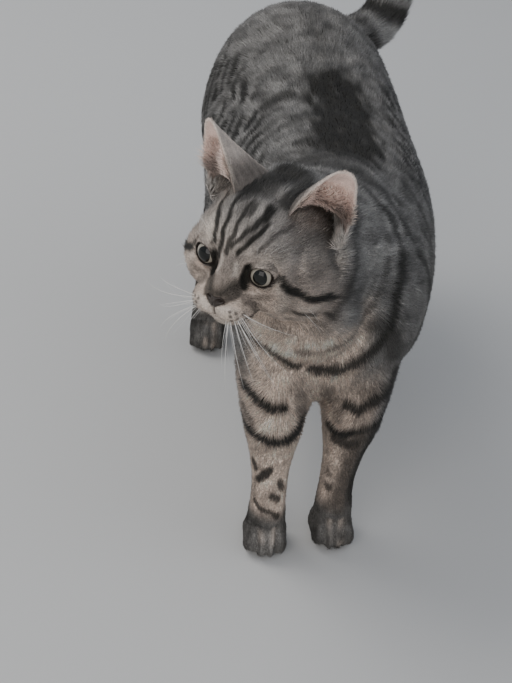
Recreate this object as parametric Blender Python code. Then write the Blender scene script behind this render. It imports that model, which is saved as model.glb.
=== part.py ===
"""A stout short-haired tabby tom cat, standing with its head turned to its right and its tail up.

The frame: the floor is Z = 0, the cat faces -Y, its left side is +X and up is +Z. The body is
modelled whole in soft masses, fused, and then parted with thin cuts into its named pieces.
Places and sizes below are in millimetres, and Blender's are in metres.
"""

import math
from collections import namedtuple

import bmesh
import bpy
from mathutils import Euler, Matrix, Vector

MM = 0.001

# Driving dimensions, to the tips of the coat.
BACK_HEIGHT = 282.0  # floor to the top of the back
BODY_WIDTH = 182.0  # across the barrel
BODY_DEPTH = 188.0  # back to belly
HEAD_WIDTH = 116.0  # across the cheeks
EYE_SPACING = 43.0  # between the pupils
EYE_RADIUS = 10.5
EYE_FORWARD = -30.5  # the eyeball's middle, in the head's own frame
EYE_RISE = 2.7
EAR_THICKNESS = 2.6
PAW_WIDTH = 38.0
TAIL_THICKNESS = 46.0

# The head's pose: where its middle is, then its turn to the right, nod and lean, in degrees.
HEAD_AT = Vector((-77.0, -230.0, 263.0))
HEAD_TURN = 37.0
HEAD_NOD = 1.6
HEAD_LEAN = 0.8  # the crown tips this much to its left

# The whiskers that reach furthest, in the head's own frame: root, middle and tip.
WHISKERS = {
    "whisker_right_upper": ((-10, -50, -21), (-38, -60, -25), (-57, -54, -25)),
    "whisker_right_lower": ((-11, -50, -26), (-27, -60, -46), (-34, -58, -66)),
    "whisker_left_inner": ((11, -50, -26), (17, -62, -54), (20, -60, -82)),
    "whisker_left_outer": ((14, -48, -25), (40, -58, -44), (57, -50, -73)),
}
WHISKER_ROOT = 0.7  # half its thickness
WHISKER_TIP = 0.35

# The legs: side, then places from the top joint down, then the paw's turn outwards in degrees.
FORELEGS = (
    (-1, (-48, -220, 116), (-44, -229, 48), (-43, -232, 20), -4),
    (1, (16, -202, 110), (11, -213, 48), (11, -220, 20), 4),
)
HINDLEGS = (
    (-1, (-42, 140, 200), (-58, 76, 138), (-64, 116, 75), (-68, 55, 18), -6),
    (1, (50, 165, 200), (62, 112, 140), (52, 205, 75), (50, 148, 18), 6),
)

# Making.
CUT = 0.35  # width of the thin cuts between pieces
VOXEL = 2.2  # fineness of the fused surface, before it is thinned
FLESH_TRIANGLES = 6200
BODY_SHARE = 0.5  # how many of a body piece's triangles stay once it is cut
WHOLE = ("head", "jaw", "nose")  # these keep all of their triangles


Station = namedtuple("Station", "x y z wide deep")


def vector(point):
    """A place in millimetres as a Blender vector in metres."""
    return Vector(point) * MM


def head_matrix():
    """The head's own axes in the world: X to its left, -Y out of its nose and Z up."""
    turn = Euler([math.radians(angle) for angle in (HEAD_NOD, HEAD_LEAN, -HEAD_TURN)])
    return Matrix.Translation(HEAD_AT * MM) @ turn.to_matrix().to_4x4()


def ball(mesh, at, radii, lean=(0.0, 0.0, 0.0), frame=None):
    """Adds one egg-shaped mass; lean turns it about X, Y and Z in degrees, in the frame given."""
    turn = Euler([math.radians(angle) for angle in lean]).to_matrix().to_4x4()
    stretch = Matrix.Diagonal((*vector(radii), 1.0))
    place = (frame or Matrix.Identity(4)) @ Matrix.Translation(vector(at)) @ turn @ stretch
    bmesh.ops.create_icosphere(mesh, subdivisions=4, radius=1.0, matrix=place)


def smooth_between(stations, steps):
    """The stations with others between them, on a Catmull-Rom curve."""
    rows = [Vector(station) for station in stations]
    ends = [2 * rows[0] - rows[1], *rows, 2 * rows[-1] - rows[-2]]
    found = []
    for before, start, end, after in zip(ends, ends[1:], ends[2:], ends[3:]):
        for step in range(steps):
            t = step / steps
            bend = 2 * before - 5 * start + 4 * end - after
            twist = 3 * (start - end) + after - before
            found.append(start + 0.5 * t * (end - before + t * (bend + t * twist)))
    return [Station(*row) for row in [*found, rows[-1]]]


def tube(mesh, stations, sides=28, steps=5, frame=None, across=Vector((1.0, 0.0, 0.0))):
    """Adds a closed round bar through the stations; wide is its half width across, deep the other."""
    rows = smooth_between(stations, steps)
    middles = [vector(row[:3]) for row in rows]
    rings = []
    for index, row in enumerate(rows):
        along = middles[min(index + 1, len(rows) - 1)] - middles[max(index - 1, 0)]
        along.normalize()
        side = (across - across.dot(along) * along).normalized()
        other = along.cross(side)
        ring = []
        for step in range(sides):
            angle = math.tau * step / sides
            out = math.cos(angle) * row.wide * side + math.sin(angle) * row.deep * other
            place = middles[index] + out * MM
            ring.append(mesh.verts.new(frame @ place if frame else place))
        rings.append(ring)
    for ring, after in zip(rings, rings[1:]):
        for step in range(sides):
            beside = (step + 1) % sides
            mesh.faces.new((ring[step], ring[beside], after[beside], after[step]))
    mesh.faces.new(list(reversed(rings[0])))
    mesh.faces.new(rings[-1])


def trunk(mesh):
    """Chest, barrel, loin and rump, with the neck's root. The rump bends to the cat's left."""
    wide = BODY_WIDTH / 2
    deep = BODY_DEPTH / 2
    middle = BACK_HEIGHT - deep
    tube(
        mesh,
        [
            Station(-14, -222, middle - 4, wide * 0.46, deep * 0.42),
            Station(-12, -200, middle - 2, wide * 0.73, deep * 0.66),
            Station(-10, -160, middle + 3, wide * 0.88, deep * 0.85),
            Station(-4, -95, middle + 3, wide * 0.99, deep * 0.94),
            Station(0, -40, middle + 1, wide * 1.04, deep * 0.94),
            Station(3, 10, middle, wide * 1.04, deep * 0.925),
            Station(3, 65, middle + 5, wide * 1.02, deep * 0.94),
            Station(3, 120, middle + 13, wide * 0.98, deep * 0.97),
            Station(3, 166, middle + 21, wide * 0.92, deep * 0.98),
            Station(9, 206, middle + 23, wide * 0.72, deep * 0.76),
            Station(15, 230, middle + 21, wide * 0.42, deep * 0.42),
        ],
        sides=40,
    )
    # Shoulder blades, brisket and haunches.
    ball(mesh, (-52, -150, 192), (34, 48, 66), (14, 8, 0))
    ball(mesh, (34, -146, 176), (38, 50, 60), (14, -8, 0))
    ball(mesh, (-12, -190, 166), (54, 42, 48))
    ball(mesh, (-36, 150, 196), (50, 62, 74), (-10, 6, 0))
    ball(mesh, (35, 152, 192), (46, 64, 72), (-10, -6, 0))


def neck(mesh):
    """A short thick neck from between the shoulders to the back of the turned head."""
    tube(
        mesh,
        [
            Station(-8, -118, 216, 62, 68),
            Station(-18, -160, 225, 60, 68),
            Station(-40, -196, 241, 55, 62),
            Station(-60, -220, 252, 50, 54),
        ],
        sides=32,
    )
    # The ruff that fills the throat, under the jaw.
    ball(mesh, (-42, -212, 206), (50, 40, 44), (0, 0, -24))


def foreleg(mesh, side, elbow, wrist, paw, toe_out):
    """One front leg. side is 1 on the left and -1 on the right; the joints are places."""
    elbow = Vector(elbow)
    wrist = Vector(wrist)
    paw = Vector(paw)
    tube(
        mesh,
        [
            Station(*(elbow + Vector((6 * side, 44, 92))), 10, 14),
            Station(*(elbow + Vector((6 * side, 34, 72))), 26, 36),
            Station(*(elbow + Vector((3 * side, 16, 36))), 30, 38),
            Station(*elbow, 25.5, 31),
            Station(*elbow.lerp(wrist, 0.3), 21.5, 24),
            Station(*elbow.lerp(wrist, 0.62), 16.5, 19),
            Station(*wrist, 15, 17),
            Station(*wrist.lerp(paw, 0.6), 15.5, 18),
            Station(*paw, 16, 18),
        ],
    )
    foot(mesh, paw, toe_out, PAW_WIDTH, 1.0)


def hindleg(mesh, side, hip, knee, hock, paw, toe_out):
    """One hind leg: thigh, shank and the long foot from the hock to the toes."""
    hip = Vector(hip)
    knee = Vector(knee)
    hock = Vector(hock)
    paw = Vector(paw)
    tube(
        mesh,
        [
            Station(*hip, 30, 52),
            Station(*hip.lerp(knee, 0.5), 31, 48),
            Station(*knee, 25, 35),
            Station(*knee.lerp(hock, 0.45), 20, 27),
            Station(*hock, 15, 20),
        ],
    )
    tube(
        mesh,
        [
            Station(*(hock + Vector((0, 9, 9))), 11, 10),
            Station(*hock, 16, 16),
            Station(*hock.lerp(paw, 0.5), 16.5, 16.5),
            Station(*paw, 17, 17),
        ],
    )
    foot(mesh, paw, toe_out, PAW_WIDTH * 0.96, 1.05)


def foot(mesh, paw, toe_out, width, stretch):
    """A round paw with four toes, standing on the floor; toe_out turns it about Z in degrees."""
    frame = Matrix.Translation(Vector((paw.x, paw.y, 0)) * MM)
    frame @= Euler((0.0, 0.0, math.radians(toe_out))).to_matrix().to_4x4()
    half = width / 2
    ball(mesh, (0, 2, 12), (half * 0.98, 20 * stretch, 14), frame=frame)
    for place, forward in ((-0.62, 8), (-0.21, 14), (0.21, 14), (0.62, 8)):
        toe = (place * half * 1.02, -forward * stretch, 9.5)
        ball(mesh, toe, (half * 0.29, 12.5, 11.0), (0, 0, place * 22), frame=frame)


def tail(mesh):
    """A full tail that leaves the bent rump to the left and stands up, with a soft curl at the tip."""
    thick = TAIL_THICKNESS / 2
    stations = [
        Station(28, 190, 246, thick * 1.25, thick * 1.25),
        Station(56, 214, 250, thick * 1.02, thick * 1.02),
        Station(82, 236, 256, thick, thick),
        Station(97, 252, 280, thick, thick),
        Station(100, 260, 318, thick * 0.98, thick * 0.98),
        Station(97, 264, 360, thick * 0.94, thick * 0.94),
        Station(96, 270, 402, thick * 0.86, thick * 0.86),
        Station(104, 282, 436, thick * 0.72, thick * 0.72),
        Station(114, 294, 452, thick * 0.48, thick * 0.48),
    ]
    tube(mesh, stations, sides=24, across=Vector((0.6, -0.8, 0.0)))
    end = stations[-1]
    ball(mesh, end[:3], (thick * 0.5, thick * 0.5, thick * 0.5))


def skull(mesh):
    """The head's masses, in the head's own frame: cranium, brows, cheeks, muzzle, bridge, chin."""
    frame = head_matrix()
    half = HEAD_WIDTH / 2

    def mass(at, radii, lean=(0, 0, 0)):
        ball(mesh, at, radii, lean, frame)

    def pair(at, radii, lean=(0, 0, 0)):
        mass(at, radii, lean)
        mass((-at[0], at[1], at[2]), radii, (lean[0], -lean[1], -lean[2]))

    mass((0, 12, 4), (half * 0.80, 50, 42))
    mass((0, -8, 10), (half * 0.66, 34, 33))
    mass((0, 34, 10), (half * 0.64, 34, 38))
    pair((21, -21, 14), (18, 15, 14), (0, 0, 18))
    pair((22.5, -24, 1), (17, 14.5, 15), (0, 0, 18))
    pair((half - 35, 4, -17), (35, 36, 28), (0, 0, 10))
    pair((half - 36, -18, -14), (24, 20, 20))
    mass((0, -34, -21), (23, 23, 17.5))
    pair((10.5, -43, -24.5), (13.5, 14.5, 11.5), (0, 0, 12))
    mass((0, -34, -36), (14, 14, 9.5))
    tube(
        mesh,
        [
            Station(0, -26, 18, 15, 12),
            Station(0, -36, 4, 10.5, 10),
            Station(0, -44, -6, 9.0, 9),
            Station(0, -51, -14, 8.0, 8),
            Station(0, -53, -20, 6.5, 6.5),
        ],
        frame=frame,
    )


def fused(mesh, name):
    """One closed surface round all the masses of mesh, softened where they meet, then thinned.

    The head and the paws are softened less than the rest.
    """
    bmesh.ops.recalc_face_normals(mesh, faces=mesh.faces)
    obj = from_mesh(mesh, name)
    remesh = obj.modifiers.new("fuse", "REMESH")
    remesh.mode = "VOXEL"
    remesh.voxel_size = VOXEL * MM
    applied(obj)
    to_head = head_matrix().inverted()
    plain = obj.vertex_groups.new(name="plain")
    for vertex in obj.data.vertices:
        in_head = (to_head @ vertex.co) / MM
        near = max(abs(in_head.x) / 66, abs(in_head.y + 12) / 54, abs(in_head.z) / 56)
        head = min(max((1.25 - near) / 0.25, 0.0), 1.0)
        paw = min(max((34 - vertex.co.z / MM) / 12, 0.0), 1.0)
        plain.add([vertex.index], 1.0 - max(head, 0.8 * paw), "REPLACE")
    soften = obj.modifiers.new("soften all", "SMOOTH")
    soften.factor = 0.5
    soften.iterations = 5
    soften = obj.modifiers.new("soften the plain parts", "SMOOTH")
    soften.factor = 0.5
    soften.iterations = 24
    soften.vertex_group = "plain"
    applied(obj)
    count = sum(len(face.vertices) - 2 for face in obj.data.polygons)
    return thinned(obj, FLESH_TRIANGLES / count)


def thinned(obj, ratio):
    """Collapses an object's least needed edges, down to a share of its triangles."""
    collapse = obj.modifiers.new("thin", "DECIMATE")
    collapse.ratio = ratio
    collapse.use_collapse_triangulate = True
    return applied(obj)


def applied(obj):
    """Replaces an object's mesh by its evaluated one and drops its modifiers."""
    bpy.context.view_layer.update()
    shown = obj.evaluated_get(bpy.context.evaluated_depsgraph_get())
    data = bpy.data.meshes.new_from_object(shown)
    obj.modifiers.clear()
    obj.data = data
    return obj


def cube(name, low, high, frame, grow=0.0):
    """A cutter: a box between two corners in a frame, grown by so much all round."""
    low = vector(low) - Vector((grow, grow, grow)) * MM
    high = vector(high) + Vector((grow, grow, grow)) * MM
    mesh = bmesh.new()
    middle = Matrix.Translation((low + high) / 2)
    bmesh.ops.create_cube(mesh, size=1.0, matrix=frame @ middle @ Matrix.Diagonal((*(high - low), 1.0)))
    return from_mesh(mesh, name)


def from_mesh(mesh, name):
    """An object in the scene from a bmesh, which is freed."""
    data = bpy.data.meshes.new(name)
    mesh.to_mesh(data)
    mesh.free()
    obj = bpy.data.objects.new(name, data)
    bpy.context.scene.collection.objects.link(obj)
    return obj


def cut(obj, cutter, operation):
    """Applies one exact Boolean to an object."""
    boolean = obj.modifiers.new("cut", "BOOLEAN")
    boolean.operation = operation
    boolean.solver = "EXACT"
    boolean.object = cutter
    return applied(obj)


def drop(*objects):
    """Removes helper objects."""
    for obj in objects:
        bpy.data.objects.remove(obj)


def twin(obj, name):
    """A second object with its own copy of the mesh."""
    copy = bpy.data.objects.new(name, obj.data.copy())
    bpy.context.scene.collection.objects.link(copy)
    return copy


def grown(obj, name, by):
    """A copy of an object, swelled along its normals."""
    copy = twin(obj, name)
    mesh = bmesh.new()
    mesh.from_mesh(copy.data)
    mesh.normal_update()
    for vertex in mesh.verts:
        vertex.co += vertex.normal * by * MM
    mesh.to_mesh(copy.data)
    mesh.free()
    return copy


def keep_largest(obj):
    """Leaves only the biggest closed body of an object: slivers of a grazing cut go."""
    mesh = bmesh.new()
    mesh.from_mesh(obj.data)
    bmesh.ops.triangulate(mesh, faces=mesh.faces)
    bmesh.ops.remove_doubles(mesh, verts=mesh.verts, dist=0.00002)
    bmesh.ops.dissolve_degenerate(mesh, edges=mesh.edges, dist=0.00002)
    bmesh.ops.triangulate(mesh, faces=mesh.faces)
    left = set(mesh.verts)
    bodies = []
    while left:
        found = {left.pop()}
        edge_of = list(found)
        while edge_of:
            vertex = edge_of.pop()
            for edge in vertex.link_edges:
                other = edge.other_vert(vertex)
                if other not in found:
                    found.add(other)
                    edge_of.append(other)
        left -= found
        bodies.append(found)
    bodies.sort(key=len)
    for body in bodies[:-1]:
        bmesh.ops.delete(mesh, geom=list(body), context="VERTS")
    mesh.to_mesh(obj.data)
    mesh.free()
    return obj


def take(flesh, name, low, high, frame=Matrix.Identity(4)):
    """Parts the flesh inside a box from the rest with a thin cut, as its own named piece."""
    inside = cube("inside", low, high, frame)
    outside = cube("outside", low, high, frame, CUT)
    piece = cut(twin(flesh, name), inside, "INTERSECT")
    cut(flesh, outside, "DIFFERENCE")
    drop(inside, outside)
    keep_largest(piece)
    keep_largest(flesh)
    return piece


def ear(side):
    """A broad cupped ear with a round tip, open to the front and outwards, its foot in the head."""
    frame = head_matrix()
    foot_at = Vector((41 * side, -1, 32))
    tip = Vector((53.5 * side, 3, 77))
    up = (tip - foot_at).normalized()
    forward = Vector((math.sin(math.radians(32)) * side, -math.cos(math.radians(32)), 0.0))
    forward = (forward - forward.dot(up) * up).normalized()
    across = up.cross(forward)
    length = (tip - foot_at).length
    rows, columns = 9, 10
    mesh = bmesh.new()
    grid = []
    for row in range(rows + 1):
        rise = -0.35 + 1.35 * row / rows
        taper = max(1.0 - max(rise, 0.0), 0.0)
        half = 20.0 * taper**0.45 + 1.2
        cup = 43.0 * taper**1.15 + 1.5
        line = []
        for column in range(columns + 1):
            bend = math.radians(-82 + 164 * column / columns)
            place = foot_at + up * (length * rise)
            place += across * (half * math.sin(bend)) - forward * (cup * math.cos(bend) - 1.0)
            line.append(mesh.verts.new(frame @ vector(place)))
        grid.append(line)
    for line, after in zip(grid, grid[1:]):
        for column in range(columns):
            corners = (line[column], line[column + 1], after[column + 1], after[column])
            mesh.faces.new(corners)
    name = "ear_left" if side > 0 else "ear_right"
    obj = from_mesh(mesh, name)
    wall = obj.modifiers.new("wall", "SOLIDIFY")
    wall.thickness = EAR_THICKNESS * MM
    wall.offset = 0.0
    wall.use_even_offset = True
    return applied(obj)


def whisker(name, path):
    """One long tapered whisker, from inside the lip to its tip."""
    middle = (WHISKER_ROOT + WHISKER_TIP) / 2
    stations = [Station(*at, half, half) for at, half in zip(path, (WHISKER_ROOT, middle, WHISKER_TIP))]
    mesh = bmesh.new()
    tube(mesh, stations, sides=6, steps=4, frame=head_matrix(), across=Vector((0.0, 1.0, 0.0)))
    bmesh.ops.recalc_face_normals(mesh, faces=mesh.faces)
    return from_mesh(mesh, name)


def eyeball(side, grow=0.0):
    """An eyeball in its socket; the cutter for the socket is the same ball, grown."""
    mesh = bmesh.new()
    place = head_matrix() @ vector((EYE_SPACING / 2 * 0.96 * side, EYE_FORWARD, EYE_RISE))
    size = (EYE_RADIUS + grow) * MM
    bmesh.ops.create_icosphere(mesh, subdivisions=3, radius=size, matrix=Matrix.Translation(place))
    return from_mesh(mesh, "eye_left" if side > 0 else "eye_right")


def paint(obj, name, colour, roughness):
    """Gives an object its material and smooth shading."""
    material = bpy.data.materials.get(name)
    if material is None:
        material = bpy.data.materials.new(name)
        material.use_nodes = True
        surface = material.node_tree.nodes["Principled BSDF"]
        surface.inputs["Base Color"].default_value = (*colour, 1.0)
        surface.inputs["Roughness"].default_value = roughness
        surface.inputs["Metallic"].default_value = 0.0
    obj.data.materials.clear()
    obj.data.materials.append(material)
    obj.data.shade_smooth()
    obj.data.set_sharp_from_angle(angle=math.radians(50))


COLOURS = {
    "grey_coat": ((0.20, 0.17, 0.14), 0.9),
    "buff_coat": ((0.42, 0.29, 0.19), 0.9),
    "iris": ((0.42, 0.44, 0.20), 0.15),
    "nose_leather": ((0.10, 0.045, 0.035), 0.5),
    "whisker": ((0.80, 0.78, 0.74), 0.4),
}


def flesh_whole():
    """All of the cat but its ears and eyes, in one closed surface."""
    mesh = bmesh.new()
    trunk(mesh)
    neck(mesh)
    for leg in FORELEGS:
        foreleg(mesh, *leg)
    for leg in HINDLEGS:
        hindleg(mesh, *leg)
    tail(mesh)
    skull(mesh)
    return fused(mesh, "barrel")


def set_in_head(flesh):
    """Sets the eyeballs in sockets cut for them, and the ears and whiskers on the head."""
    pieces = []
    for side in (-1, 1):
        socket = eyeball(side, CUT)
        cut(flesh, socket, "DIFFERENCE")
        drop(socket)
        pieces.append(eyeball(side))
    keep_largest(flesh)
    bed = grown(flesh, "bed", CUT)
    for side in (-1, 1):
        pieces.append(keep_largest(cut(ear(side), bed, "DIFFERENCE")))
    for name, path in WHISKERS.items():
        pieces.append(keep_largest(cut(whisker(name, path), bed, "DIFFERENCE")))
    drop(bed)
    return pieces


def facing(at, along):
    """The frame at a place whose -Y axis points along a direction, with X level."""
    back = -Vector(along).normalized()
    side = back.cross(Vector((0.0, 0.0, 1.0))).normalized()
    turn = Matrix((side, back, side.cross(back))).transposed()
    return Matrix.Translation(vector(at)) @ turn.to_4x4()


def leaning(at, lean):
    """The frame at a place, turned about X by so many degrees."""
    return Matrix.Translation(vector(at)) @ Euler((math.radians(lean), 0.0, 0.0)).to_matrix().to_4x4()


def parted(flesh):
    """Parts the flesh into the cat's named pieces; what is left at the end is the barrel."""
    head = head_matrix()
    tail_root = facing((58, 213, 250), (0.75, 0.64, 0.14))
    pieces = [
        take(flesh, "nose", (-7.5, -70, -24), (7.5, -52, -9.5), head),
        take(flesh, "jaw", (-17, -80, -60), (17, -22, -33), head),
        take(flesh, "head", (-80, -90, -52), (80, 36, 70), head),
        take(flesh, "tail_tip", (40, 200, 398), (200, 400, 500)),
        take(flesh, "tail_upper", (40, 200, 345), (200, 400, 500)),
        take(flesh, "tail_lower", (40, 200, 292), (200, 400, 500)),
        take(flesh, "tail_root", (-45, -120, -34), (45, 0, 60), tail_root),
        take(flesh, "neck", (-90, -200, -34), (90, 0, 100), facing((-22, -156, 224), (-0.43, -0.85, 0.3))),
    ]
    for name, inner, outer in (("right", -15, -110), ("left", -12, 90)):
        low, high = min(inner, outer), max(inner, outer)
        pieces.append(take(flesh, "forepaw_" + name, (low, -300, -10), (high, -150, 38)))
        pieces.append(take(flesh, "foreleg_" + name, (low, -300, 0), (high, -150, 103)))
    for name, inner, outer in (("right", -30, -150), ("left", 26, 150)):
        low, high = min(inner, outer), max(inner, outer)
        pieces.append(take(flesh, "hindpaw_" + name, (low, -10, -10), (high, 260, 34)))
        pieces.append(take(flesh, "hindfoot_" + name, (low, 20, 0), (high, 260, 68)))
        pieces.append(take(flesh, "shank_" + name, (low, 52, 0), (high, 260, 105)))
    shoulder = leaning((0, -150, 190), 14)
    thigh = leaning((0, 140, 196), -10)
    pieces += [
        take(flesh, "shoulder_right", (-150, -48, -120), (-46, 46, 62), shoulder),
        take(flesh, "shoulder_left", (36, -48, -120), (150, 46, 58), shoulder),
        take(flesh, "thigh_right", (-150, -74, -120), (-46, 72, 52), thigh),
        take(flesh, "thigh_left", (44, -66, -120), (150, 80, 48), thigh),
        take(flesh, "chest", (-200, -400, 0), (200, -96, 400)),
        take(flesh, "rump", (-200, 96, 0), (200, 400, 400)),
    ]
    return pieces


def stand(paw):
    """Cuts a paw off flat at the floor."""
    ground = cube("ground", (-400, -500, -60), (400, 500, 0), Matrix.Identity(4))
    keep_largest(cut(paw, ground, "DIFFERENCE"))
    drop(ground)


def centre(pieces):
    """Moves the whole cat so that the middle of its box stands over the origin."""
    corners = [vertex.co for piece in pieces for vertex in piece.data.vertices]
    low = Vector([min(corner[axis] for corner in corners) for axis in range(3)])
    high = Vector([max(corner[axis] for corner in corners) for axis in range(3)])
    middle = (low + high) / 2
    for piece in pieces:
        piece.data.transform(Matrix.Translation((-middle.x, -middle.y, -low.z)))


def main():
    for obj in list(bpy.data.objects):
        bpy.data.objects.remove(obj)
    flesh = flesh_whole()
    pieces = set_in_head(flesh)
    lengths = [*parted(flesh), flesh]
    for piece in lengths:
        if piece.name not in WHOLE:
            keep_largest(thinned(piece, BODY_SHARE))
        if "paw" in piece.name:
            stand(piece)
    pieces += lengths
    centre(pieces)
    for piece in pieces:
        if piece.name.startswith("eye"):
            paint(piece, "iris", *COLOURS["iris"])
        elif piece.name.startswith("whisker"):
            paint(piece, "whisker", *COLOURS["whisker"])
        elif piece.name == "nose":
            paint(piece, "nose_leather", *COLOURS["nose_leather"])
        elif piece.name.startswith(("head", "jaw", "fore", "chest", "shank", "hind")):
            paint(piece, "buff_coat", *COLOURS["buff_coat"])
        else:
            paint(piece, "grey_coat", *COLOURS["grey_coat"])


main()
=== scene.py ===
"""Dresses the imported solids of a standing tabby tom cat: one skin, its eyes, nose, coat and whiskers.

Everything is in metres in the frame of the solids: the cat faces -Y and stands on Z = 0. Sizes in
millimetres are multiplied by MM. The head has axes of its own: X to the cat's left, -Y out of its
nose and Z up, with the same origin as in the solids, found from the eyeballs.
"""

import math
from collections import namedtuple

import bmesh
import bpy
import numpy as np
from bpy.props import FloatProperty, FloatVectorProperty, IntProperty, PointerProperty
from mathutils import Euler, Matrix, Vector
from mathutils.bvhtree import BVHTree


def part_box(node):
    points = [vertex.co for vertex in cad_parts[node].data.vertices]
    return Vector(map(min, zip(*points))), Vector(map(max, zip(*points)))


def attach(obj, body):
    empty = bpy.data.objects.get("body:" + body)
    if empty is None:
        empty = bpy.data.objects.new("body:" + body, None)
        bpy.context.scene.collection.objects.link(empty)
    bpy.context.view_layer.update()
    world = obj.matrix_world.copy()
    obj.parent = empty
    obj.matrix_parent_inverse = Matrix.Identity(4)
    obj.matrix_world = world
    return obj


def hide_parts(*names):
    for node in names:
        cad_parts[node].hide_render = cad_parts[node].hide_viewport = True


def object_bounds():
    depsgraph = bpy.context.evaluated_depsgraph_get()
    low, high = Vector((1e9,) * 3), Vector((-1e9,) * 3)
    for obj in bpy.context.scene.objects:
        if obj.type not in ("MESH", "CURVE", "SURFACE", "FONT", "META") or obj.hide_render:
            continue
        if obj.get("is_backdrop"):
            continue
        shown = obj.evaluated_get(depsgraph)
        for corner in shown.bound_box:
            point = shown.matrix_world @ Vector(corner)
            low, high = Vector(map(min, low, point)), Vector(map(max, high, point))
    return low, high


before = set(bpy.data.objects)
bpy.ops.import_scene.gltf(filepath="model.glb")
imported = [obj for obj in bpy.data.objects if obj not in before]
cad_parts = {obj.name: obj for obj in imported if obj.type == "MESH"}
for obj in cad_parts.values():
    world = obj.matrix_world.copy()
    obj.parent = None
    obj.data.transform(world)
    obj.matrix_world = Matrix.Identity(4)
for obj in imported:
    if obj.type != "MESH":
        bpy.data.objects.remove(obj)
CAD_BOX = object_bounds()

bl_info = {
    "name": "Tabby cat",
    "version": (1, 0, 0),
    "blender": (4, 5, 0),
    "location": "3D View > Sidebar > Cat",
    "description": "Makes the skin, eyes, nose, coat and whiskers of a standing tabby cat",
    "category": "Object",
}

MM = 0.001
SIDES = (-1, 1)  # the cat's right and left

# The head, in its own axes and in millimetres.
EYE_FORWARD = -30.5
EYE_RISE = 2.7
NOSE_TIP = np.array((0.0, -57.0, -14.0))
EAR_FOOT = np.array((41.0, -1.0, 32.0))
EAR_TIP = np.array((53.5, 3.0, 77.0))
EAR_FACING = 32.0  # degrees outwards
EAR_BEND = 84.0  # degrees that an ear's shell bends to either side of its middle line
HEAD_KINDS = ("head", "jaw", "nose", "eye", "ear")
BARREL = np.array((3.7, -9.9, 194.8))  # the barrel's middle, in the axes of the body's markings

# How the coat lies on each part: how deep the skin is under its tips, how long, wide and raised
# the tufts are (millimetres and degrees), and how many there are on a square millimetre.
Lie = namedtuple("Lie", "depth length width rise crowd")
LIES = {
    "barrel": Lie(3.0, 10.0, 1.15, 14.0, 0.76),
    "rump": Lie(3.2, 10.5, 1.15, 14.0, 0.72),
    "chest": Lie(2.7, 8.6, 1.04, 15.0, 1.02),
    "neck": Lie(2.8, 9.0, 1.1, 15.0, 0.98),
    "shoulder": Lie(2.5, 8.6, 1.1, 14.0, 0.88),
    "thigh": Lie(2.6, 9.5, 1.15, 14.0, 0.76),
    "shank": Lie(2.1, 7.5, 1.03, 13.0, 0.88),
    "hindfoot": Lie(1.5, 5.5, 0.88, 11.0, 1.05),
    "hindpaw": Lie(1.1, 4.0, 0.74, 11.0, 1.3),
    "foreleg": Lie(1.5, 5.2, 0.88, 13.0, 1.35),
    "forepaw": Lie(1.1, 3.8, 0.7, 11.0, 1.75),
    "tail": Lie(4.4, 12.5, 1.25, 20.0, 0.82),
    "head": Lie(2.2, 6.5, 0.75, 15.0, 2.1),
    "jaw": Lie(1.6, 5.0, 0.68, 15.0, 2.3),
    "nose": Lie(0.8, 2.4, 0.5, 12.0, 2.5),
}
# The way the coat lies, in the solids' own axes, before it is laid along the surface.
FLOWS = {
    "barrel": (0.0, 1.0, -0.30),
    "rump": (0.0, 1.0, -0.45),
    "chest": (0.0, 0.9, -0.75),
    "neck": (0.2, 0.9, -0.60),
    "shoulder": (0.0, 0.7, -0.80),
    "thigh": (0.0, 0.6, -0.90),
    "shank": (0.0, 0.3, -1.0),
    "hindfoot": (0.0, -0.1, -1.0),
    "hindpaw": (0.0, -1.0, -0.5),
    "foreleg": (0.0, 0.1, -1.0),
    "forepaw": (0.0, -1.0, -0.6),
}


# ---------------------------------------------------------------------------------------------
# Places
# ---------------------------------------------------------------------------------------------


def middle(node):
    """The middle of a node's box."""
    low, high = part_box(node)
    return (low + high) / 2


def head_matrix():
    """The head's own axes in the solids' frame, from the line between the eyes and the nod."""
    left, right = middle("eye_left"), middle("eye_right")
    across = (left - right).normalized()
    lean = -math.asin(across.z)
    turn = math.atan2(across.y, across.x)
    nod = bpy.context.scene.cat_sizes.head_nod
    matrix = Euler((nod, lean, turn)).to_matrix().to_4x4()
    between = Vector((0.0, EYE_FORWARD, EYE_RISE)) * MM
    return Matrix.Translation((left + right) / 2 - matrix @ between) @ matrix


def in_head(points):
    """Places in the solids' frame, in metres, as places in the head's, in millimetres."""
    matrix = np.array(head_matrix())
    return (points - matrix[:3, 3]) @ matrix[:3, :3] / MM


def in_body(points):
    """Places in the solids' frame, in metres, in the axes of the body's markings, in millimetres."""
    return (points - np.array(middle("barrel"))) / MM + BARREL


def out_of_head(points):
    """Places in the head's frame, in millimetres, as places in the solids', in metres."""
    matrix = np.array(head_matrix())
    return np.asarray(points, float) * MM @ matrix[:3, :3].T + matrix[:3, 3]


def turned_out_of_head(directions):
    """Directions in the head's frame as directions in the solids'."""
    return np.asarray(directions, float) @ np.array(head_matrix())[:3, :3].T


def ramp(value, start, end):
    """0 before start and 1 after end, with a smooth rise; start may be the larger one."""
    t = np.clip((value - start) / (end - start), 0.0, 1.0)
    return t * t * (3.0 - 2.0 * t)


def bell(value, width):
    """1 at 0, falling smoothly to almost nothing at twice the width."""
    return np.exp(-((value / width) ** 2))


def unit(vectors):
    """Vectors at length 1."""
    return vectors / np.maximum(np.linalg.norm(vectors, axis=-1, keepdims=True), 1e-12)


def towards(first, second, share):
    """Rows of numbers that go over from first, where share is 0, to second, where it is 1."""
    return first + (np.asarray(second) - first) * share[:, None]


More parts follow.
